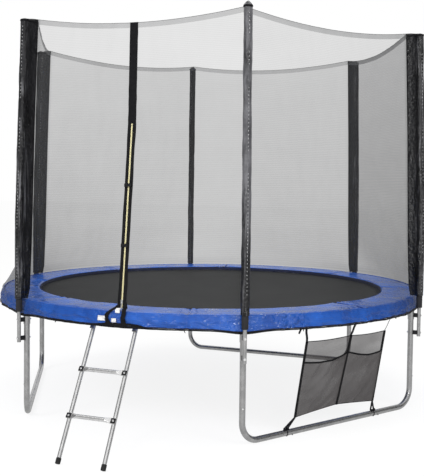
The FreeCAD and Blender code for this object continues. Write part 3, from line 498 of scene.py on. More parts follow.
def mat_look():
    """Tight plastic weave, a little shiny along its ribs."""
    look = Look("mat_fabric", (0.05, 0.052, 0.053), 0.55)
    place = look.place()
    tone = look.noise(3.0, 6.0)
    speck = look.noise(260.0, 2.0)
    shade = look.maths("ADD", look.maths("MULTIPLY", tone, 0.6), look.maths("MULTIPLY", speck, 0.4))
    look.toned(look.span(shade, 0.35, 0.65), (0.015, 0.0155, 0.0155), (0.026, 0.027, 0.0265))
    look.set("Specular IOR Level", 0.13)
    look.set("Roughness", look.span(speck, 0.3, 0.7, 0.55, 0.72))
    ribs = look.maths("MULTIPLY", look.bands(0.004, "X", place), look.bands(0.004, "Y", place))
    look.bump(ribs, 0.5, 0.0008)
    return look.material


def cover_look():
    """Coated blue sheet with broad folds, threads, and glossy crumples near the front pole."""
    look = Look("pad_pvc", (0.02, 0.09, 0.5), 0.34)
    cloud = look.noise(5.0, 5.0)
    patch = look.noise(11.0, 3.0)
    shade = look.maths("ADD", look.maths("MULTIPLY", cloud, 0.6), look.maths("MULTIPLY", patch, 0.4))
    look.toned(look.span(shade, 0.35, 0.66), (0.006, 0.1, 0.55), (0.02, 0.2, 0.92))
    look.set("Roughness", look.span(patch, 0.3, 0.7, 0.18, 0.38))
    look.set("Specular IOR Level", 0.5)
    slanted = look.noise(8.0, 2.0, look.place((1.0, 1.0, 2.6)))
    folds = look.bump(slanted, 0.6, 0.03)
    crumpled = look.maths("ABSOLUTE", look.maths("SUBTRACT", look.noise(26.0, 1.0), 0.5))
    scattered = look.span(look.noise(2.2, 2.0), 0.6, 0.7)
    where = look.maths("MAXIMUM", scattered, look.span(look.towards(FRONT_POLE), 1.52, 1.56))
    dents = look.bump(look.maths("MULTIPLY", crumpled, where), 1.0, 0.04, folds)
    look.set("Coat Weight", look.span(where, 0.0, 1.0, 0.1, 0.9))
    look.set("Coat Roughness", 0.08)
    look.set("Coat Normal", dents)
    threads = look.maths("MULTIPLY", look.bands(0.0016, "X"), look.bands(0.0016, "Z"))
    look.bump(threads, 0.04, 0.0002, dents)
    return look.material


def lip_look():
    """The cover's inner wall and bindings, in dark navy cloth; on the inner wall the dark navy is also
    painted shade.
    """
    look = Look("pad_binding", (0.008, 0.014, 0.06), 0.6)
    tone = look.noise(40.0, 4.0)
    look.toned(tone, (0.005, 0.009, 0.04), (0.015, 0.025, 0.1))
    look.set("Specular IOR Level", 0.2)
    look.bump(look.weave(0.0018), 0.5, 0.0005)
    return look.material


def net_look(name, cover, colour, streaks=0.12, top_share=1.0, mottle=0.16):
    """Fine knotless mesh: an open share in place of holes too small to see."""
    look = Look(name, colour, 0.7)
    place = look.place()
    cover = look.span(look.part("Z"), PAD_TOP, NET_TOP, cover, cover * top_share)
    rows = look.bands(0.011, "Z", place, wavy=1.2)
    cloud = look.noise(2.2, 5.0, look.place((1, 1, 3.0)))
    change = look.maths("ADD", look.maths("MULTIPLY", rows, streaks), look.maths("MULTIPLY", cloud, mottle))
    share = look.maths("MULTIPLY", look.maths("ADD", change, 0.94 - mottle / 2), cover)
    look.see_through(share)
    knit = look.maths("MULTIPLY", look.bands(0.003, "Z", place), look.bands(0.003, "X", place))
    look.bump(knit, 0.3, 0.0005)
    return look.material


def zip_look():
    look = Look("zip_coil", (0.85, 0.7, 0.25), 0.45)
    tone = look.noise(60.0)
    look.toned(tone, (0.86, 0.76, 0.36), (0.95, 0.9, 0.6))
    look.bump(look.bands(0.0026, "Z"), 0.4, 0.0005)
    return look.material


# one steel in two tones: darker on the frame as painted shade for the legs under the trampoline, lighter on
# the ladder as painted light
STEEL = steel_look("galvanised_steel", 0.26, 0.47)
LADDER_STEEL_PAINTED_LIGHT = steel_look("ladder_steel_with_painted_light", 0.5, 0.82)
SPRING = small_metal_look("spring_steel", 80.0, 0.5, 0.78, (0.22, 0.4), (900.0, 0.1))
FASTENER = small_metal_look("zinc_fasteners", 150.0, 0.72, 0.9, (0.3, 0.5), (700.0, 0.08))
PLASTIC = moulded_look("black_plastic", (0.007, 0.007, 0.008), 0.5)
RUBBER = moulded_look("rubber_feet", (0.012, 0.012, 0.012), 0.72, 500.0)
FOAM = foam_look()
POCKET = pocket_look()
# pale thread: real stitches, and partly painted glints on the sleeves
THREAD_AND_GLINTS = webbing_look("pale_thread_and_painted_glints", (0.5, 0.5, 0.51), (0.85, 0.85, 0.86), 0.001)
TAPE = webbing_look("tape_webbing", (0.004, 0.004, 0.005), (0.012, 0.012, 0.013))
CORD = webbing_look("elastic_cord", (0.004, 0.004, 0.006), (0.013, 0.013, 0.016), 0.003)
HEM = webbing_look("mat_webbing", (0.005, 0.005, 0.006), (0.014, 0.014, 0.016), 0.0035)
MAT = mat_look()
COVER = cover_look()
NAVY_AND_PAINTED_SHADE = lip_look()
NET = net_look("net_mesh", 0.265, (0.02, 0.021, 0.023), 0.16, 0.76)
BAND = net_look("band_webbing", 0.5, (0.1, 0.102, 0.106), 0.05)
BAG = net_look("bag_mesh", 0.66, (0.058, 0.052, 0.052), 0.0, 1.0, 0.5)
ZIP = zip_look()
LABEL = webbing_look("plain_label", (0.62, 0.62, 0.63), (0.8, 0.8, 0.8), 0.001)


# ------------------------------------------------------------------ CAD nodes that stay

def paint(material, *names):
    for name in names:
        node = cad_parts[name]
        node.data.materials.clear()
        node.data.materials.append(material)


def paint_cad_nodes():
    for kind in ("rail_segment", "leg_upright", "pole_lower", "pole_upper"):
        paint(STEEL, *["%s_%d" % (kind, number) for number in range(1, 7)])
    paint(STEEL, "leg_base_1", "leg_base_2", "leg_base_3", "ladder_hooks")
    paint(LADDER_STEEL_PAINTED_LIGHT, "ladder_rail_left", "ladder_rail_right", "ladder_rungs")
    paint(FASTENER, "pole_bolts_and_nuts", "frame_screws", "ladder_bolts_and_nuts")
    paint(PLASTIC, "pole_caps", "pole_spacers", "ladder_rung_caps", "buckle_sockets")
    paint(PLASTIC, "buckle_prong_upper", "buckle_prong_lower")
    paint(RUBBER, "ladder_feet")
    paint(FASTENER, "zip_slider")


# ------------------------------------------------------------------ mat, rings and springs

def dished(piece):
    """Bakes the piece's placement into its mesh and returns it; it is not bent to follow the mat."""
    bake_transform(piece)
    return piece


def ring_rows(profile, steps, start=0.0, sweep=360.0):
    """Rows of points that sweep (radius, z) pairs about the centre line."""
    return [[polar(radius, start + sweep * i / steps, z) for radius, z in profile] for i in range(steps + 1)]


def make_mat():
    shape = Shape()
    radii = [0.004] + [MAT_R * k / 42 for k in range(1, 43)]
    thickness = 0.0016
    profile = [(radius, 0.0) for radius in radii] + [(radius, -thickness) for radius in radii[::-1]]
    base = shape.grid(ring_rows(profile, 180))
    count = len(profile)
    shape.fan([base + i * count for i in range(180)])
    shape.fan([base + i * count + count - 1 for i in range(180)][::-1])
    mat = shape.piece("jumping_mat_cloth", MAT, None, "mat_fabric", ["jumping_mat"])
    return dished(mat)


def make_mat_hem():
    """Folded webbing round the mat, with a rounded edge and two rows of stitches."""
    shape = Shape()
    inner, outer = MAT_R + 0.0004, HEM_HIGH.x
    top, bottom = HEM_HIGH.z, HEM_LOW.z
    middle = (top + bottom) / 2
    profile = [
        (inner, bottom + 0.0004), (inner, top - 0.0006), (inner + 0.002, top), (outer - 0.003, top),
        (outer - 0.0008, top - 0.001), (outer, middle), (outer - 0.0008, bottom + 0.001),
        (outer - 0.003, bottom), (inner + 0.002, bottom),
    ]
    rows = ring_rows(profile + profile[:1], 360)
    shape.grid(rows)
    stitch_pitch_deg = 0.5
    for row_radius in (inner + 0.006, outer - 0.009):
        for number in range(int(360 / stitch_pitch_deg)):
            turn = number * stitch_pitch_deg
            ends = [polar(row_radius, turn, top + 0.0002), polar(row_radius, turn + 0.3, top + 0.0002)]
            shape.tube(ends, 0.0007, 4, look=1)
    hem = shape.piece("mat_hem_webbing", [HEM, NAVY_AND_PAINTED_SHADE], None, "mat_webbing", ["mat_hem"])
    return dished(hem)


def make_mat_rings():
    """Wire triangles held by the hem, one for each spring."""
    shape = Shape()
    for angle in SPRING_ANGLES:
        out, side = axes(angle)
        level = HEM_LOW.z + 0.0008
        corners = [(1.2870, -0.013), (1.2870, 0.013), (1.3095, 0.0022), (1.3095, -0.0022)]
        path = []
        for k, corner in enumerate(corners):
            ahead, behind = corners[(k + 1) % 4], corners[k - 1]
            for share in (-0.18, 0.0, 0.18):
                other = ahead if share > 0 else behind
                pull = abs(share)
                soft = 0.06 if share == 0.0 else 0.0
                radius = corner[0] * (1 - pull - soft) + other[0] * pull + 1.298 * soft
                aside = corner[1] * (1 - pull - soft) + other[1] * pull
                path.append(out * radius + side * aside + Vector((0, 0, level)))
        shape.tube(path, 0.0016, 6, closed=True)
    rings = shape.piece("mat_ring_wires", SPRING, None, "galvanised_steel", ["mat_rings"])
    return dished(rings)


def spring_path(turns=26, steps=9):
    """Hook, close coil and hook, along +X from the mat ring to the rail."""
    ring_z, rail_z = HEM_LOW.z + 0.0035, RAIL_Z + 0.0055
    start, end = 1.335, 1.455
    coil_r = 0.0094

    def axis_z(x):
        return ring_z + (rail_z - ring_z) * (x - 1.300) / (1.490 - 1.300)

    hook = ((1.3045, -0.006), (1.302, -0.001), (1.305, 0.002), (1.318, 0.0015))
    path = [Vector((x, 0, axis_z(x) + lift)) for x, lift in hook]
    for k in range(turns * steps + 1):
        turn = 2 * math.pi * k / steps
        x = start + (end - start) * k / (turns * steps)
        grow = smooth(min(k, turns * steps - k) / (1.2 * steps))
        size = 0.002 + (coil_r - 0.002) * grow
        path.append(Vector((x, size * math.sin(turn), axis_z(x) + size * math.cos(turn))))
    path += [Vector((x, 0, axis_z(x) - drop)) for x, drop in ((1.466, 0.0), (1.482, 0.0), (1.491, 0.001))]
    return path


def make_springs():
    shape = Shape()
    path = spring_path()
    for angle in SPRING_ANGLES:
        turn = Matrix.Rotation(math.radians(angle), 3, "Z")
        shape.tube([turn @ point for point in path], 0.0016, 4)
    springs = shape.piece("coil_springs", SPRING, None, "spring_steel", ["springs"])
    return dished(springs)


# ------------------------------------------------------------------ pad

def bay_mask(degrees):
    """0 at every pole and 1 midway between two poles."""
    away = abs((degrees + 30.0) % 60.0 - 30.0)
    return smooth((away - 2.5) / 7.0)


def seam_distance(degrees):
    """Degrees to the nearest joint between two pad sections, negative before it."""
    sweep = 360.0 / PAD_SECTIONS
    return (degrees - PAD_FIRST_SEAM + sweep / 2) % sweep - sweep / 2


def droop(degrees):
    """How much lower the skirt and the net's foot hang beside a pole."""
    total = 0.0
    for angle, depth in POLE_DROOPS.items():
        away = turn_between(degrees, angle)
        total += depth * math.exp(-((away / 4.5) ** 2))
    return total + 0.0022 * wobble(degrees * 0.06, 2.0, 0.0, 1.6)


def skirt_ripple(degrees, z):
    """How far the skirt and the net's foot stand out, the same for both."""
    turn = math.radians(degrees)
    x, y = math.cos(turn) * RAIL_RADIUS, math.sin(turn) * RAIL_RADIUS
    hang = smooth((PAD_TOP - z) / 0.04)
    wide = 0.5 + 0.5 * wobble(x, y, z * 2.5, 4.5)
    slanted = wobble(x + z * 1.6, y + z * 1.6, z * 2.0, 12.0)
    small = wobble(x - z * 2.2, y, z * 3.0, 30.0)
    fine = wobble(x, y, z * 2.0, 75.0)
    seam = seam_distance(degrees)
    tuck = -0.004 * math.exp(-((seam / 0.35) ** 2)) + 0.003 * math.exp(-(((abs(seam) - 1.0) / 0.5) ** 2))
    ridge = 1.0 - abs(wobble(x + z * 2.4, y - z * 1.2, z * 1.5, 8.0)) * 3.0
    folds = 0.006 * wide + 0.0085 * slanted + 0.004 * small + 0.001 * fine + 0.005 * max(0.0, ridge)
    return bay_mask(degrees) * hang * (0.003 + folds + tuck)


def pad_profile():
    """Closed outline (radius, z) of a pad section: top, outer edge, underside, inner edge."""
    low, high = PAD_UNDERSIDE, PAD_TOP - 0.003
    inner, outer = PAD_INNER + 0.001, SKIRT_EDGE - 0.001
    steps = 26
    top = [(inner + 0.004 + (outer - 0.008 - inner) * k / steps, high) for k in range(steps + 1)]
    outside = [(outer, high - 0.003), (outer, low + 0.003)]
    bottom = [(radius, low) for radius, _ in top[::-1]]
    inside = [(inner, low + 0.003), (inner, (low + high) / 2), (inner, high - 0.003)]
    return top + outside + bottom + inside


def simulate_swelling(piece, held, limit, frames=20, pressure=4.0):
    """Blows the piece up with a short cloth run, then keeps at most limit of the movement."""
    scene = bpy.context.scene
    rest = np.array([vertex.co for vertex in piece.data.vertices])
    group = piece.vertex_groups.new(name="held")
    group.add([i for i, fixed in enumerate(held) if fixed], 1.0, "REPLACE")
    cloth = piece.modifiers.new("swell", "CLOTH")
    cloth.settings.use_pressure = True
    cloth.settings.uniform_pressure_force = pressure
    cloth.settings.vertex_group_mass = "held"
    cloth.settings.quality = 5
    cloth.settings.tension_stiffness = 12
    cloth.settings.compression_stiffness = 8
    cloth.settings.bending_stiffness = 0.15
    cloth.settings.effector_weights.gravity = 0.0
    cloth.collision_settings.use_collision = False
    cloth.point_cache.frame_start = 1
    cloth.point_cache.frame_end = frames
    for number in range(1, frames + 1):
        scene.frame_set(number)
    settled = piece.evaluated_get(bpy.context.evaluated_depsgraph_get())
    moved = np.array([vertex.co for vertex in settled.data.vertices])
    piece.modifiers.remove(cloth)
    scene.frame_set(1)
    step = moved - rest
    length = np.linalg.norm(step, axis=1, keepdims=True)
    step *= np.minimum(1.0, limit / np.maximum(length, 1e-9))
    piece.data.vertices.foreach_set("co", (rest + step).ravel())
    piece.data.update()


def make_pad_sections():
    """One section is swollen by simulation, then copied round and creased."""
    sweep, columns = 360.0 / PAD_SECTIONS - 0.2, 84
    rows = ring_rows(pad_profile(), columns, -sweep / 2, sweep)
    count = len(rows[0])
    shape = Shape()
    base = shape.grid(rows, True)
    shape.fan([base + j for j in range(count)][::-1])
    shape.fan([base + columns * count + j for j in range(count)])
    seed = shape.piece("pad_seed", COVER)
    middle = (PAD_UNDERSIDE + PAD_TOP) / 2
    held = [vertex.co.z < middle - 0.004 for vertex in seed.data.vertices]
    simulate_swelling(seed, held, PAD_SWELL)
    points = [vertex.co.copy() for vertex in seed.data.vertices]
    faces = [list(polygon.vertices) for polygon in seed.data.polygons]
    whole = Shape()
    for number in range(PAD_SECTIONS):
        middle_turn = PAD_FIRST_SEAM + (number + 0.5) * 360.0 / PAD_SECTIONS
        turn = Matrix.Rotation(math.radians(middle_turn), 3, "Z")
        base = len(whole.points)
        for point in points:
            whole.points.append(creased(turn @ point))
        for face in faces:
            # faces on the pad's inner wall take the dark navy cloth, which is partly painted shade there
            inside = all(points[corner].xy.length < PAD_INNER + 0.004 for corner in face)
            whole.fan([base + corner for corner in face], 1 if inside else 0)
    bpy.data.objects.remove(seed)
    return whole.piece("pad_sections", [COVER, NAVY_AND_PAINTED_SHADE], "frame", "pad_pvc", ["pad_foam"])


def pad_lift(degrees, radius):
    """Height that dents, creases, bulges and tucks add to the pad's top."""
    x, y = radius * math.cos(math.radians(degrees)), radius * math.sin(math.radians(degrees))
    across = (radius - PAD_INNER) / (SKIRT_EDGE - PAD_INNER)
    edge = smooth(min(across, 1 - across) / 0.14)
    dent = 0.0026 * wobble(x, y, 0.0, 5.0) + 0.0016 * wobble(x, y, 1.0, 18.0)
    near = seam_distance(degrees)
    gather = math.exp(-((near / 3.5) ** 2))
    crease = 0.0022 * gather * wobble(degrees * 1.4, radius * 3.0, 4.0, 2.0)
    tuck = -0.0045 * math.exp(-((near / 0.3) ** 2))
    bulge = 0.0
    for angle, width, height in PAD_BULGES:
        away = turn_between(degrees, angle)
        bulge += height * math.exp(-((away / width) ** 2))
    return edge * (dent + crease) + tuck + bulge * smooth((1 - across) / 0.35)


def creased(point):
    degrees = math.degrees(math.atan2(point.y, point.x))
    share = smooth((point.z - PAD_UNDERSIDE - 0.004) / 0.006)
    return point + Vector((0, 0, share * pad_lift(degrees, math.hypot(point.x, point.y))))


def skirt_point(degrees, share, proud=0.0):
    """Point on the hanging skirt, from 0 at its top seam to 1 at its lower edge."""
    z = PAD_TOP - 0.001 + (SKIRT_BOTTOM + 0.001 - droop(degrees) - PAD_TOP) * share
    lean = SKIRT_EDGE + 0.0025 + 0.0092 * min(1.0, share * 1.05)
    return polar(lean + proud + skirt_ripple(degrees, z), degrees, z)


def make_skirt():
    """Cover edge: a rounded turn at the top seam and a creased hanging skirt."""
    shape = Shape()
    columns, shares = 1440, [k / 14 for k in range(15)]
    rows = []
    for i in range(columns + 1):
        degrees = 360.0 * i / columns
        lift = pad_lift(degrees, SKIRT_EDGE) * 0.5
        row = [polar(SKIRT_EDGE - 0.0040, degrees, PAD_TOP + 0.0010 + lift)]
        row += [polar(SKIRT_EDGE - 0.0005, degrees, PAD_TOP + 0.0018 + lift)]
        row += [polar(SKIRT_EDGE + 0.0016, degrees, PAD_TOP + 0.0008 + lift)]
        row += [skirt_point(degrees, share) for share in shares]
        row += [skirt_point(degrees, share, -0.0012) for share in shares[::-1]]
        row.append(polar(SKIRT_EDGE - 0.0035, degrees, PAD_TOP - 0.0025))
        rows.append(row + row[:1])
    shape.grid(rows)
    return shape.piece("pad_skirt", COVER, "frame", "pad_pvc", ["pad_cover"])


def make_pad_bindings():
    """Dark folded bindings on the pad's inner edge and the skirt's hem, a dark sheet hung into the gap by the
    mat as painted shade, and joint flaps.
    """
    shape = Shape()
    columns = 1440
    turns = [360.0 * i / columns for i in range(columns)]
    hem = [skirt_point(degrees, 1.0, -0.0004) + Vector((0, 0, 0.0015)) for degrees in turns]
    shape.tube(hem, 0.0015, 6, closed=True, flat=2.6, up=(0, 0, 1))
    lip = [polar(PAD_INNER + 0.0008, a, PAD_TOP - 0.002 + pad_lift(a, PAD_INNER)) for a in turns]
    shape.tube(lip, 0.0028, 8, closed=True)
    # painted shade: a dark navy sheet hung from the pad's inner edge nearly down to the mat, darkening the
    # gap between them
    painted_shade_valance = []
    for i in range(columns + 1):
        degrees = 360.0 * i / columns
        sway = 0.0012 * wobble(degrees * 0.25, 3.0, 0.0, 1.3)
        fall = [(PAD_INNER + 0.0004, PAD_TOP - 0.003), (PAD_INNER - 0.0016 + sway, PAD_TOP * 0.5)]
        fall += [(PAD_INNER - 0.0012 + sway * 2, 0.0028)]
        back = [(radius + 0.0009, z) for radius, z in fall[::-1]]
        painted_shade_valance.append([polar(radius, degrees, z) for radius, z in fall + back + fall[:1]])
    shape.grid(painted_shade_valance)
    piping = [polar(SKIRT_EDGE + 0.0012, a, PAD_TOP + 0.0012 + 0.5 * pad_lift(a, SKIRT_EDGE)) for a in turns]
    shape.tube(piping, 0.0015, 6, closed=True, look=1)
    for number in range(PAD_SECTIONS):
        seam = PAD_FIRST_SEAM + number * 360.0 / PAD_SECTIONS
        rows = []
        for i in range(25):
            radius = PAD_INNER + 0.006 + (SKIRT_EDGE - 0.010 - PAD_INNER) * i / 24
            row = []
            for k in range(9):
                degrees = seam - 0.15 + 1.35 * k / 8 + 0.06 * wobble(radius * 9.0, number, k * 0.1, 2.0)
                lift = 0.0038 * math.sin(math.pi * min(1.0, 0.12 + k / 9)) + pad_lift(seam + 1.3, radius)
                row.append(polar(radius, degrees, PAD_TOP - 0.0012 + lift))
            rows.append(row + [point - Vector((0, 0, 0.0012)) for point in row[::-1]] + row[:1])
        shape.grid(rows, look=1)
    return shape.piece("pad_bindings", [NAVY_AND_PAINTED_SHADE, COVER], "frame", "pad_pvc")


def make_pad_ties():
    shape = Shape()
    up = Vector((0, 0, 1))
    for angle in PAD_TIE_ANGLES:
        centre = polar(RAIL_RADIUS, angle, RAIL_Z)
        out, side = axes(angle)
        loop_round(shape, centre, side)
        tie = centre + out * 0.008 - up * 0.0232
        bead = [tie + Vector((0, 0, 0.0035 - 0.001 * k)) for k in range(8)]
        shape.tube(bead, lambda share: 0.0045 * math.sqrt(max(0.05, 1 - (2 * share - 1) ** 2)), 8)
        tail = []
        for k in range(9):
            swing = 0.006 * math.sin(k * 0.5 + angle)
            tail.append(tie + side * swing - up * (0.002 + 0.0052 * k))
        shape.tube(tail, 0.0022, 6, flat=1.7, up=out)
    return shape.piece("pad_tie_cords", CORD, "frame", "black_fabric", ["pad_ties"])


# ------------------------------------------------------------------ net

def net_radius(offset, z, bay):
    """Distance of the net from the centre line, offset degrees from the bay's middle."""
    side = table_value(NET_ROWS, z, 1)
    middle = table_value(NET_ROWS, z, 2)
    if bay == DOOR_BAY and z > ZIP_LOW.z:
        share = (z - ZIP_LOW.z) / (ZIP_HIGH.z - ZIP_LOW.z)
        middle = max(1.240, share * (ZIP_LOW.y - ZIP_HIGH.y) - ZIP_LOW.y)
    chord = side * math.cos(math.radians(30.0))
    roundness = (middle - chord) / (side - chord)
    straight = chord / math.cos(math.radians(offset))
    return straight * (1 - roundness) + side * roundness


def zip_offset(z):
    """Direction of the zip at this height, in degrees from the door's middle."""
    share = (z - ZIP_LOW.z) / (ZIP_HIGH.z - ZIP_LOW.z)
    spot = ZIP_LOW.lerp(ZIP_HIGH, min(1.0, max(0.0, share)))
    return math.degrees(math.atan2(spot.x, -spot.y))


def top_edge(offset):
    """z of the net's top edge, which sags between two poles."""
    share = 1 - (math.tan(math.radians(offset)) / math.tan(math.radians(30.0))) ** 2
    return NET_TOP - BAND_SAG * share


def net_point(bay, offset, z):
    """Point on the net's cloth, with its slack."""
    skirt_top = PAD_TOP + 0.010
    degrees = bay + offset
    if z < skirt_top:
        share = min(1.0, max(0.0, (PAD_TOP - z) / (PAD_TOP - SKIRT_BOTTOM)))
        radius = NET_BOTTOM_R - 0.0065 * (1 - share) + skirt_ripple(degrees, z)
        return polar(radius, degrees, z - droop(degrees) * share)
    radius = net_radius(offset, z, bay)
    edge = smooth((30.0 - abs(offset)) / 7.0)
    free = smooth((z - skirt_top) / 0.15)
    middle = smooth((abs(offset - zip_offset(z)) - 1.3) / 3.0) if bay == DOOR_BAY else 1.0
    loose = 0.12 if bay == BAG_BAY else 0.8
    broad = 0.007 * wobble(offset * 0.05, z * 1.3, bay, 1.7)
    medium = 0.003 * wobble(offset * 0.12, z * 2.0, bay + 5.0, 3.1)
    slack = loose * (broad + medium) + 0.0018 * wobble(offset * 0.3 + z * 2.5, z * 7.0, bay + 9.0, 1.8)
    pull = 0.004 * (1 - edge) * math.sin(z * 23.0 + bay)
    beside_pole = smooth((30.0 - abs(offset)) / 1.5)
    return polar(radius + free * (edge * middle * slack + beside_pole * pull), degrees, z)


def net_heights(offset, count=58):
    """z values from the hem up to the band's lower edge."""
    top = top_edge(offset) - BAND_HEIGHT
    bottom = CORD_Z
    heights = [bottom + (PAD_TOP + 0.010 - bottom) * k / 10 for k in range(10)]
    start = PAD_TOP + 0.010
    heights += [start + (top - start) * (k / count) ** 1.25 for k in range(count + 1)]
    return heights


def make_net():
    shape = Shape()
    columns = 60
    for bay in BAY_ANGLES:
        rows = []
        for i in range(columns + 1):
            offset = -30.0 + 60.0 * i / columns
            rows.append([net_point(bay, offset, z) for z in net_heights(offset)])
        shape.grid(rows)
    return shape.piece("safety_net", NET, "frame", "net_mesh", ["net_panels"])


def make_top_band():
    """Doubled hem along the top edge, thicker at its folded rim."""
    shape = Shape()
    columns = 60
    for bay in BAY_ANGLES:
        rows = []
        for i in range(columns + 1):
            offset = -30.0 + 60.0 * i / columns
            top = top_edge(offset)
            low = top - BAND_HEIGHT
            flutter = 0.0015 * wobble(offset * 0.4, bay, 0.0, 1.5)
            base = net_point(bay, offset, low)
            out = Vector((base.x, base.y, 0)).normalized()
            row = []
            for k in range(7):
                lean = 0.0012 * math.sin(math.pi * k / 6)
                height = Vector((base.x, base.y, low + (top - low) * k / 6))
                row.append(height + out * (lean + flutter * k / 6))
            rows.append(row)
        shape.grid(rows)
    return shape.piece("net_top_hem", BAND, "frame", "band_webbing", ["net_top_band"])


def make_band_cord():
    """Thin dark cord sewn in the fold of the top hem."""
    shape = Shape()
    for bay in BAY_ANGLES:
        path = []
        for i in range(49):
            offset = -29.9 + 59.8 * i / 48
            base = net_point(bay, offset, top_edge(offset) - BAND_HEIGHT)
            path.append(Vector((base.x, base.y, top_edge(offset) - 0.0012)))
        shape.tube(path, 0.0011, 6)
    return shape.piece("net_top_cord", CORD, "frame", "band_webbing")


def make_hem_cord():
    """Elastic cord along the foot of the net."""
    shape = Shape()
    path = []
    for i in range(720):
        degrees = 360.0 * i / 720
        ripple = skirt_ripple(degrees, CORD_Z) * 0.8
        path.append(polar(CORD_RADIUS + ripple, degrees, CORD_Z - droop(degrees)))
    shape.tube(path, 0.003, 8, closed=True)
    return shape.piece("net_foot_cord", CORD, "frame", "black_fabric", ["net_hem_cord"])


def foot_hem_height(degrees):
    """Height of the net's gathered foot hem, deepest under the door and beside the poles."""
    door = turn_between(degrees, -87.5)
    depth = 0.006 + 0.022 * math.exp(-((door / 6.0) ** 4)) + 0.009 * math.exp(-(((door + 14.0) / 6.0) ** 2))
    return depth + 0.6 * droop(degrees) + 0.0018 * wobble(degrees * 0.4, 0.0, 0.0, 1.5)


def make_foot_hem():
    """Dark folded hem round the foot of the net, puckered by its cord."""
    shape = Shape()
    columns = 1440
    rows = []
    for i in range(columns + 1):
        degrees = 360.0 * i / columns
        pucker = 0.0012 * wobble(degrees * 1.1, 5.0, 0.0, 1.4)
        row = []
        for k in range(5):
            share = k / 4
            z = CORD_Z - 0.0035 + foot_hem_height(degrees) * share
            stand = NET_BOTTOM_R + 0.0016 + skirt_ripple(degrees, z) + pucker * (1 - share)
            row.append(polar(stand - 0.0065 * share * 0.2, degrees, z - droop(degrees)))
        rows.append(row + [inward(point, 0.0011) for point in row[::-1]] + row[:1])
    shape.grid(rows)
    return shape.piece("net_foot_hem", TAPE, "frame", "black_fabric")


def inward(point, distance):
    return point - Vector((point.x, point.y, 0)).normalized() * distance


def make_door_foot():
    """Bound edges of the two door flaps below the zip, parting over the pad's edge."""
    shape = Shape()
    for edge in FLAP_EDGES:
        rows = []
        for i in range(41):
            place = i / 40 * (len(edge) - 1)
            degrees, z = (float(np.interp(place, range(len(edge)), column)) for column in zip(*edge))
            row = []
            for k in range(7):
                aside = (k / 6 - 0.5) * (0.95 + 0.25 * i / 40)
                spot = net_point(DOOR_BAY, degrees + aside - DOOR_BAY, z)
                lift = 0.0032 + 0.0015 * math.sin(math.pi * k / 6) + 0.0008 * wobble(i * 0.3, k, 0.0, 1.4)
                row.append(inward(spot, -lift))
            rows.append(row + [inward(point, 0.0012) for point in row[::-1]] + row[:1])
        shape.grid(rows)
    return shape.piece("door_flap_edges", TAPE, "frame", "black_fabric")


def make_labels():
    """Three plain pale cloth labels beside the door's foot, with nothing printed on them."""
    shape = Shape()
    for middle, low, high, half in LABELS:
        rows = []
        for i in range(13):
            z = low + (high - low) * i / 12
            row = []
            for k in range(9):
                spot = net_point(DOOR_BAY, middle + half * (k / 4 - 1) - DOOR_BAY, z)
                row.append(inward(spot, -0.0042 - 0.0012 * math.sin(i * 0.5 + k * 0.4)))
            rows.append(row + [inward(point, 0.0007) for point in row[::-1]] + row[:1])
        shape.grid(rows)
    return shape.piece("plain_labels", LABEL, "frame", "black_fabric")


def pole_radius(z):
    """Distance of a pole's axis from the centre line, upright at first and then leaning in."""
    share = max(0.0, (z - POLE_LEAN_START) / (POLE_TOP_Z - POLE_LEAN_START))
    return POLE_FOOT_RADIUS + (POLE_TOP_RADIUS - POLE_FOOT_RADIUS) * share


def pocket_section(angle, z):
    """Closed outline of one pocket: fin out from the net, round the foam and back."""
    centre = pole_radius(z)
    inner = table_value(FIN_EDGE, z, 1)
    join = math.radians(28.0)
    join_x, join_y = centre - SLEEVE_R * math.cos(join), SLEEVE_R * math.sin(join)
    outline = []
    for k in range(8):
        share = k / 8
        x = inner + (join_x - inner) * share
        y = FIN_HALF_THICKNESS + (join_y - FIN_HALF_THICKNESS) * share ** 3
        sway = 0.0042 * wobble(z * 1.5, angle, 3.0, 1.4) + 0.0018 * wobble(z * 5.0, x * 20.0, angle, 1.3)
        outline.append((x, y, smooth(share * 1.6) * (1 - share) * 2.2 * sway))
    for k in range(25):
        turn = math.pi - join - (2 * math.pi - 2 * join) * k / 24
        swirl = math.cos(turn), math.sin(turn)
        crease = wobble(swirl[0] * 0.8 + angle, swirl[1] * 0.8, z * 3.2, 2.0)
        tight = wobble(swirl[0] + angle, swirl[1], z * 11.0, 2.6)
        ripple = max(-0.0028, 0.0002 + 0.0030 * crease + 0.0012 * tight)
        reach = SLEEVE_R + ripple
        outline.append((centre + reach * swirl[0], reach * swirl[1], 0.0))
    for x, y, sway in outline[7::-1]:
        outline.append((x, -y, sway))
    out, side = axes(angle)
    return [out * x + side * (y + sway) + Vector((0, 0, z)) for x, y, sway in outline]


def make_pockets():
    """Cloth sleeves round the foam poles with fins that hold the net."""
    shape = Shape()
    low = POCKET_LOW.z + 0.0005
    high = POCKET_HIGH.z - 0.012
    rows_up = 150
    for angle in POLE_ANGLES:
        rows = []
        for i in range(rows_up + 1):
            z = low + (high - low) * i / rows_up
            rows.append(pocket_section(angle, z))
        rise = POCKET_HIGH.z - high
        crown = []
        for point in rows[-1]:
            share = smooth((pole_radius(high) + 0.02 - math.hypot(point.x, point.y)) / 0.09)
            crown.append(point + Vector((0, 0, 0.002 + (rise - 0.002) * share)))
        rows.append(crown)
        count = len(rows[0])
        base = shape.grid(rows, True)
        for ring in (0, rows_up + 1):
            start = base + ring * count
            for k in range(count // 2 - 1):
                corners = [start + k, start + k + 1, start + count - 2 - k, start + count - 1 - k]
                if len(set(corners)) == 4:
                    shape.fan(corners if ring else corners[::-1])
        add_crown(shape, angle, high)
    return shape.piece("pole_pockets", POCKET, "frame", "black_fabric", ["net_pole_pockets"])


def pole_ring(angle, z, radius, lift=0.0):
    """Circle of 24 points round a pole at height z, raised by lift."""
    out, side = axes(angle)
    centre = polar(pole_radius(z), angle, z + lift)
    turns = [2 * math.pi * k / 24 for k in range(24)]
    return [centre + (out * math.cos(t) + side * math.sin(t)) * radius for t in turns]


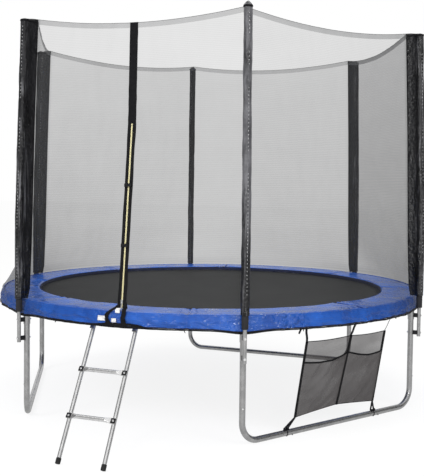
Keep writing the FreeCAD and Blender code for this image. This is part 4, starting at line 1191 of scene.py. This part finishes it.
def add_crown(shape, angle, z):
    """Cloth dome that closes a pocket over its pole's cap."""
    rise, radius = CROWN_RISES[angle], SLEEVE_R + 0.0005
    rim = ((0.2, -0.001), (1.0, -0.001), (1.04, 0.002))
    rows = [pole_ring(angle, z, radius * share, lift) for share, lift in rim]
    for share, lift in ((0.93, 0.2), (0.7, 0.5), (0.42, 0.8), (0.12, 1.0)):
        rows.append(pole_ring(angle, z, radius * share, lift * rise))
    base = shape.grid(rows, True)
    shape.fan([base + k for k in range(24)][::-1])
    shape.fan([base + 6 * 24 + k for k in range(24)])


def make_pole_foam():
    """Foam tubes round the poles, slightly uneven, with rounded ends."""
    shape = Shape()
    low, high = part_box("pole_foam_sleeves")[0].z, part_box("pole_foam_sleeves")[1].z - 0.001
    foot = [(low, FOAM_BORE_R), (low, FOAM_R - 0.002), (low + 0.0015, FOAM_R - 0.0005)]
    head = [(high - 0.0015, FOAM_R - 0.0005), (high, FOAM_R - 0.002), (high, FOAM_BORE_R)]
    for angle in POLE_ANGLES:
        rows = [pole_ring(angle, z, radius) for z, radius in foot]
        for i in range(1, 120):
            z = low + (high - low) * i / 120
            rows.append(pole_ring(angle, z, FOAM_R - 0.0003 + 0.0004 * wobble(z * 6.0, angle, 0.0, 2.0)))
        rows += [pole_ring(angle, z, radius) for z, radius in head]
        shape.grid(rows + rows[:1], True)
    return shape.piece("pole_foam_tubes", FOAM, "frame", "pole_foam", ["pole_foam_sleeves"])


def grown_outline(angle, z, reach):
    """Outline of a pocket at z, moved outwards by reach."""
    outline = pocket_section(angle, z)
    middle = polar(pole_radius(z), angle, z)
    return [point + (point - middle).normalized() * reach for point in outline]


def make_pocket_seams():
    """Sewn fin edges, turned hems at both ends, and rows of pale stitches, which are partly a real seam and
    partly painted glints.
    """
    shape = Shape()
    for angle in POLE_ANGLES:
        seam = []
        for i in range(91):
            z = POCKET_LOW.z + 0.003 + (POCKET_HIGH.z - 0.004 - POCKET_LOW.z) * i / 90
            seam.append(polar(table_value(FIN_EDGE, z, 1), angle, z))
        shape.tube(seam, 0.0021, 6)
        shape.tube(grown_outline(angle, POCKET_LOW.z + 0.012, 0.0006), 0.0009, 5, closed=True)
        rim = grown_outline(angle, POCKET_HIGH.z - 0.017, 0.0012)
        shape.tube(rim, 0.0020, 6, closed=True, flat=3.2, up=(0, 0, 1))
        # pale stitches, partly painted glints: their turn on each pole and their gaps put them where the
        # sleeves glint
        for number in range(int((POCKET_HIGH.z - POCKET_LOW.z - 0.06) / STITCH_PITCH)):
            z = POCKET_LOW.z + 0.030 + number * STITCH_PITCH
            if wobble(z * 4.0, angle, 0.0, 1.5) > -0.15:
                shape.tube(stitch_points(angle, z, SEAM_TURNS[angle]), 0.0011, 4, look=1)
    return shape.piece("pole_pocket_seams", [TAPE, THREAD_AND_GLINTS], "frame", "black_fabric")


def stitch_points(angle, z, turn):
    """One stitch on a sleeve, turn degrees round from the outward direction."""
    points = []
    for rise in (0.0, STITCH_LENGTH / 2, STITCH_LENGTH):
        side = math.radians(turn)
        centre = polar(pole_radius(z + rise), angle, z + rise)
        way = polar(1, angle, 0) * math.cos(side) + polar(1, angle + 90, 0) * math.sin(side)
        points.append(centre + way * (FOAM_R + 0.0072))
    return points


# ------------------------------------------------------------------ zip

def zip_axes():
    up = (ZIP_HIGH - ZIP_LOW).normalized()
    out = (Vector((0, -1, 0)) - up * up.dot(Vector((0, -1, 0)))).normalized()
    return up, out, out.cross(up)


def make_zip_tape():
    """Two tapes along the zip and the plain strip above it, with wavy edges."""
    up, out, across = zip_axes()
    shape = Shape()
    length = (ZIP_HIGH - ZIP_LOW).length
    steps = 120
    for side in (-1, 1):
        rows = []
        for i in range(steps + 1):
            along = length * i / steps
            spine = ZIP_LOW + up * along
            wave = 0.003 * wobble(along * 5.0, side, 0.0, 1.5)
            row = []
            for share, lift in ((0.045, 0.0), (0.25, 0.0004), (0.5, 0.0), (0.8, 0.0006), (1.0, 0.0002)):
                ripple = 0.0012 * wobble(along * 9.0, share, side, 1.3) * share
                place = across * (side * share * (TAPE_HALF + wave))
                row.append(spine + place + out * (TAPE_FRONT + lift + max(-0.0008, ripple)))
            back = [point - out * 0.0011 for point in row[::-1]]
            rows.append(row + back + row[:1])
        shape.grid(rows, flip=side > 0)
    head = Vector((ZIP_HIGH.x, -1.2415, NET_TOP - BAND_SAG))
    rows = []
    for i in range(61):
        spine = ZIP_HIGH.lerp(head, i / 60)
        row = []
        for k in range(7):
            reach = (TAPE_HALF + 0.0015 * wobble(i * 0.15, 0.0, k, 1.2)) * (k / 3 - 1)
            wave = 0.0014 * wobble(i * 0.2, reach * 60.0, 7.0, 1.2)
            row.append(spine + Vector((reach, -0.0062 - wave, 0.0)))
        back = [point + Vector((0, 0.0012, 0)) for point in row[::-1]]
        rows.append(row + back + row[:1])
    shape.grid(rows)
    return shape.piece("zip_tapes", TAPE, "frame", "black_fabric", ["zip_tape"])


def make_zip_coil():
    """Two rows of interlocked teeth."""
    up, out, across = zip_axes()
    shape = Shape()
    length = (ZIP_HIGH - ZIP_LOW).length
    pitch = 0.0036
    for number in range(int(length / pitch)):
        side = 1 if number % 2 else -1
        centre = ZIP_LOW + up * (0.001 + number * pitch)
        centre += across * (side * 0.0008) + out * (TAPE_FRONT + 0.0008)
        ends = [centre - across * 0.0030, centre + across * 0.0030]
        shape.tube(ends, 0.0013, 6, up=out)
    for side in (-1, 1):
        start = ZIP_LOW + across * (side * 0.0036) + out * (TAPE_FRONT + 0.0006)
        shape.tube([start + up * (length * k / 60) for k in range(61)], 0.0009, 6)
    return shape.piece("zip_teeth", ZIP, "frame", "zip_coil", ["zip_coil"])


# ------------------------------------------------------------------ shoe bag

def bag_point(offset, height, proud=0.0):
    """Point on the plane from the rail to the leg's ground tube, in the bag's bay."""
    distance = BAG_TUBE_RADIUS + (BAG_RAIL_RADIUS - BAG_TUBE_RADIUS) * height / BAG_RAIL_HEIGHT
    share = max(0.0, (height - BAG_FOOT) / (BAG_TOP - BAG_FOOT))
    lean = BAG_SEAM_LEAN * share * max(0.0, 1.0 - abs(offset) / BAG_HALF)
    out, along = axes(BAG_BAY)
    return out * (distance + proud) + along * (offset + lean) + Vector((0, 0, height + GROUND))


def bag_top(offset):
    """Height of the bag's top edge, which hangs a little between its cords."""
    return BAG_TOP - 0.007 * abs(math.sin(math.pi * offset / BAG_HALF))


def bag_foot(offset):
    return BAG_FOOT - 0.030 * (abs(offset) / BAG_HALF) ** 1.2


def pocket_top(offset):
    share = abs(offset) / BAG_HALF
    return 0.490 - 0.024 * share - 0.020 * math.sin(math.pi * share)


def bag_front(offset, height):
    """How far a pocket stands out from the back panel."""
    share = abs(offset) / BAG_HALF
    depth = smooth((height - bag_foot(offset)) / 0.12)
    bulge = 0.0045 + 0.024 * math.sin(math.pi * share) ** 0.8 * depth
    slanted = wobble(offset * 2.0 + height * 1.6, height * 2.0 - offset, 9.0, 4.0)
    creases = 1.0 - 2.2 * abs(wobble(offset * 2.2 - height * 1.8, height * 1.1, 4.0, 4.5))
    return bulge + (0.010 * slanted + 0.008 * max(0.0, creases)) * math.sin(math.pi * share)


def make_bag_panel():
    shape = Shape()
    columns, lines = 56, 36
    rows = []
    for i in range(columns + 1):
        offset = -BAG_HALF + 2 * BAG_HALF * i / columns
        low, high = bag_foot(offset), bag_top(offset)
        row = []
        for k in range(lines + 1):
            height = low + (high - low) * k / lines
            belly = -0.008 * math.sin(math.pi * k / lines) * abs(math.sin(math.pi * offset / BAG_HALF))
            ripple = 0.0025 * wobble(offset * 4.0, height * 4.0, 0.0, 2.2)
            row.append(bag_point(offset, height, belly + min(0.0, ripple)))
        rows.append(row)
    shape.grid(rows)
    return shape.piece("shoe_bag_back", BAG, "frame", "bag_mesh", ["shoe_bag_panel"])


def make_bag_pockets():
    shape = Shape()
    columns, lines = 60, 56
    for side in (-1, 1):
        rows = []
        for i in range(columns + 1):
            offset = side * (0.004 + (BAG_HALF - 0.006) * i / columns)
            low, high = bag_foot(offset) + 0.003, pocket_top(offset)
            row = []
            for k in range(lines + 1):
                height = low + (high - low) * k / lines
                row.append(bag_point(offset, height, bag_front(offset, height)))
            rows.append(row)
        shape.grid(rows)
    return shape.piece("shoe_bag_pouches", BAG, "frame", "bag_mesh", ["shoe_bag_pockets"])


def make_bag_binding():
    """Folded tape along every edge of the bag, between the pockets and on their rims."""
    shape = Shape()
    steps = 40
    spread = [-BAG_HALF + 2 * BAG_HALF * k / steps for k in range(steps + 1)]
    edges = []
    for side in (-1, 1):
        edge = side * BAG_HALF
        low, high = bag_foot(edge), bag_top(edge)
        edges.append([bag_point(edge, low + (high - low) * k / 20, 0.001) for k in range(21)])
        rim = []
        for k in range(25):
            offset = side * (0.004 + (BAG_HALF - 0.006) * k / 24)
            rim.append(bag_point(offset, pocket_top(offset), bag_front(offset, pocket_top(offset))))
        edges.append(rim)
    low, high = bag_foot(0), bag_top(0)
    edges.append([bag_point(0.0, low + (high - low) * k / 20, 0.0045) for k in range(21)])
    for path in ([bag_point(a, bag_top(a)) for a in spread], [bag_point(a, bag_foot(a)) for a in spread]):
        shape.tube(path, 0.0026, 6)
    for number, path in enumerate(edges):
        rim = number in (1, 3)
        shape.tube(path, 0.0056 if rim else 0.0098, 8, flat=0.6, up=polar(1, BAG_BAY, 0))
    return shape.piece("shoe_bag_binding", TAPE, "frame", "black_fabric", ["shoe_bag_piping"])


def knot(shape, centre, size):
    bead = [centre + Vector((0, 0, size * (1 - 2 * k / 7))) for k in range(8)]
    shape.tube(bead, lambda share: size * math.sqrt(max(0.06, 1 - (2 * share - 1) ** 2)), 8)


def loop_round(shape, centre, along, size=0.0212):
    up = Vector((0, 0, 1))
    out = along.cross(up)
    turns = [k * math.pi / 12 for k in range(24)]
    shape.tube([centre + (out * math.cos(t) + up * math.sin(t)) * size for t in turns], 0.002, 6, closed=True)


def make_bag_cords():
    shape = Shape()
    out, along = axes(BAG_BAY)
    for offset, anchor in BAG_TIES:
        angle = BAG_BAY + math.degrees(math.asin(offset / RAIL_RADIUS))
        centre = polar(RAIL_RADIUS, angle, RAIL_Z)
        loop_round(shape, centre, axes(angle)[1])
        tie = centre - Vector((0, 0, 0.0242))
        knot(shape, tie, 0.0046)
        foot = bag_point(anchor, bag_top(anchor) + 0.003)
        path = [foot.lerp(tie, k / 10) + along * (0.002 * math.sin(k * 0.9)) for k in range(11)]
        width = 0.0024 if anchor == BAG_HALF else 0.0085
        shape.tube(path, width, 8, flat=0.6, up=out)
    loose_angle = BAG_BAY + math.degrees(math.asin(BAG_TIES[0][0] / RAIL_RADIUS))
    loose_end = polar(RAIL_RADIUS, loose_angle, RAIL_Z - 0.025)
    tail = [loose_end - along * (0.0085 * k) - Vector((0, 0, 0.0011 * k * k)) for k in range(8)]
    shape.tube(tail, 0.0068, 8, flat=0.6, up=out)
    for offset, anchor in ((-0.405, -BAG_HALF), (0.376, BAG_HALF)):
        centre = bag_point(offset, 0.019) - out * 0.00375
        loop_round(shape, centre, along)
        tie = centre + Vector((0, 0, 0.0232))
        knot(shape, tie, 0.0046)
        head = bag_point(anchor, bag_foot(anchor) - 0.002)
        for shift in (-0.017, 0.014):
            path = [tie.lerp(head, k / 8) + along * (shift * (1 - k / 8)) for k in range(9)]
            shape.tube(path, 0.0068, 6, flat=0.6, up=out)
        for reach, fall in ((0.007, 0.0011), (-0.006, 0.0007)):
            tail = [tie + along * (reach * k) + polar(0.003 * k, BAG_BAY, -fall * k * k) for k in range(7)]
            shape.tube(tail, 0.0034, 6, flat=0.6, up=out)
        knot(shape, tie + along * 0.013 + polar(0.004, BAG_BAY, 0), 0.0105)
        knot(shape, tie - along * 0.014 + polar(0.006, BAG_BAY, -0.004), 0.0095)
    return shape.piece("shoe_bag_cords", CORD, "frame", "black_fabric", ["shoe_bag_straps"])


# ------------------------------------------------------------------ stage, light and camera

def floor_look():
    """Pale paper: mostly its own glow to the camera, so that shadows on it stay soft."""
    look = Look("floor", (0.16, 0.16, 0.16), 0.95)
    look.set("Specular IOR Level", 0.0)
    path = look.nodes.new("ShaderNodeLightPath")
    look.set("Emission Color", (1.0, 1.0, 1.0))
    look.set("Emission Strength", look.span(path.outputs["Is Camera Ray"], 0.0, 1.0, 0.6, 0.86))
    return look.material


def make_floor():
    mesh = bpy.data.meshes.new("floor")
    half = 40.0
    z = GROUND - 0.0006
    corners = [(-half, -half, z), (half, -half, z), (half, half, z), (-half, half, z)]
    mesh.from_pydata(corners, [], [(0, 1, 2, 3)])
    floor = bpy.data.objects.new("floor", mesh)
    bpy.context.scene.collection.objects.link(floor)
    mesh.materials.append(floor_look())


def camera_axes():
    azimuth, pitch, roll = (math.radians(a) for a in (CAMERA_AZIMUTH, CAMERA_PITCH, CAMERA_ROLL))
    level = Vector((math.cos(azimuth), math.sin(azimuth), 0)) * math.cos(pitch)
    ahead = level + Vector((0, 0, math.sin(pitch)))
    right = ahead.cross(Vector((0, 0, 1))).normalized()
    up = right.cross(ahead)
    return right * math.cos(roll) + up * math.sin(roll), up * math.cos(roll) - right * math.sin(roll), ahead


def make_camera():
    data = bpy.data.cameras.new("camera")
    camera = bpy.data.objects.new("camera", data)
    bpy.context.scene.collection.objects.link(camera)
    right, up, ahead = camera_axes()
    camera.matrix_world = Matrix.Translation(CAMERA_PLACE) @ Matrix((right, up, -ahead)).transposed().to_4x4()
    data.lens = CAMERA_LENS
    data.shift_x, data.shift_y = CAMERA_SHIFT
    data.clip_end = 200.0
    bpy.context.scene.camera = camera


def make_sky():
    """White backdrop for the camera; darker walls to each side for the steel to mirror."""
    world = bpy.data.worlds.new("studio")
    bpy.context.scene.world = world
    world.use_nodes = True
    nodes, links = world.node_tree.nodes, world.node_tree.links
    nodes.clear()
    right, _, _ = camera_axes()
    place = nodes.new("ShaderNodeTexCoord")
    side = nodes.new("ShaderNodeVectorMath")
    side.operation = "DOT_PRODUCT"
    side.inputs[1].default_value = (right.x, right.y, 0.0)
    links.new(place.outputs["Generated"], side.inputs[0])
    size = nodes.new("ShaderNodeMath")
    size.operation = "ABSOLUTE"
    links.new(side.outputs["Value"], size.inputs[0])
    wall = nodes.new("ShaderNodeMapRange")
    wall.interpolation_type = "SMOOTHSTEP"
    links.new(size.outputs[0], wall.inputs["Value"])
    for name, value in zip(("From Min", "From Max", "To Min", "To Max"), (0.35, 0.85, 1.0, 0.08)):
        wall.inputs[name].default_value = value
    path = nodes.new("ShaderNodeLightPath")
    seen = nodes.new("ShaderNodeMath")
    seen.operation = "MAXIMUM"
    links.new(wall.outputs["Result"], seen.inputs[0])
    links.new(path.outputs["Is Camera Ray"], seen.inputs[1])
    glow = nodes.new("ShaderNodeBackground")
    links.new(seen.outputs[0], glow.inputs["Strength"])
    glow.inputs["Color"].default_value = (1.0, 1.0, 1.0, 1.0)
    end = nodes.new("ShaderNodeOutputWorld")
    links.new(glow.outputs[0], end.inputs["Surface"])


def make_lamp(name, place, size, power, mirrored=False):
    data = bpy.data.lights.new(name, "AREA")
    data.shape = "DISK"
    data.size = size
    data.energy = power
    lamp = bpy.data.objects.new(name, data)
    bpy.context.scene.collection.objects.link(lamp)
    lamp.location = place
    lamp.visible_glossy = mirrored
    aim = Vector((0, 0, 0.3)) - Vector(place)
    lamp.rotation_euler = aim.to_track_quat("-Z", "Y").to_euler()


def make_studio():
    make_floor()
    make_sky()
    make_lamp("key", (-3.5, -6.5, 4.5), 3.0, 280.0)
    make_lamp("low_right", (5.0, -7.6, 1.4), 0.6, 80.0, mirrored=True)
    make_lamp("low_left", (1.2, -9.0, 1.6), 0.6, 70.0, mirrored=True)
    make_lamp("fill", (6.5, -4.0, 4.0), 3.5, 220.0)
    make_lamp("top", (0.5, 1.0, 7.0), 4.0, 120.0, mirrored=True)
    make_camera()
    bpy.context.scene.view_settings.view_transform = "Standard"


# ------------------------------------------------------------------ build

paint_cad_nodes()
make_mat()
make_mat_hem()
make_mat_rings()
make_springs()
make_pad_sections()
make_skirt()
make_pad_bindings()
make_pad_ties()
make_net()
make_top_band()
make_band_cord()
make_hem_cord()
make_foot_hem()
make_door_foot()
make_labels()
make_pole_foam()
make_pockets()
make_pocket_seams()
make_zip_tape()
make_zip_coil()
make_bag_panel()
make_bag_pockets()
make_bag_binding()
make_bag_cords()
make_studio()
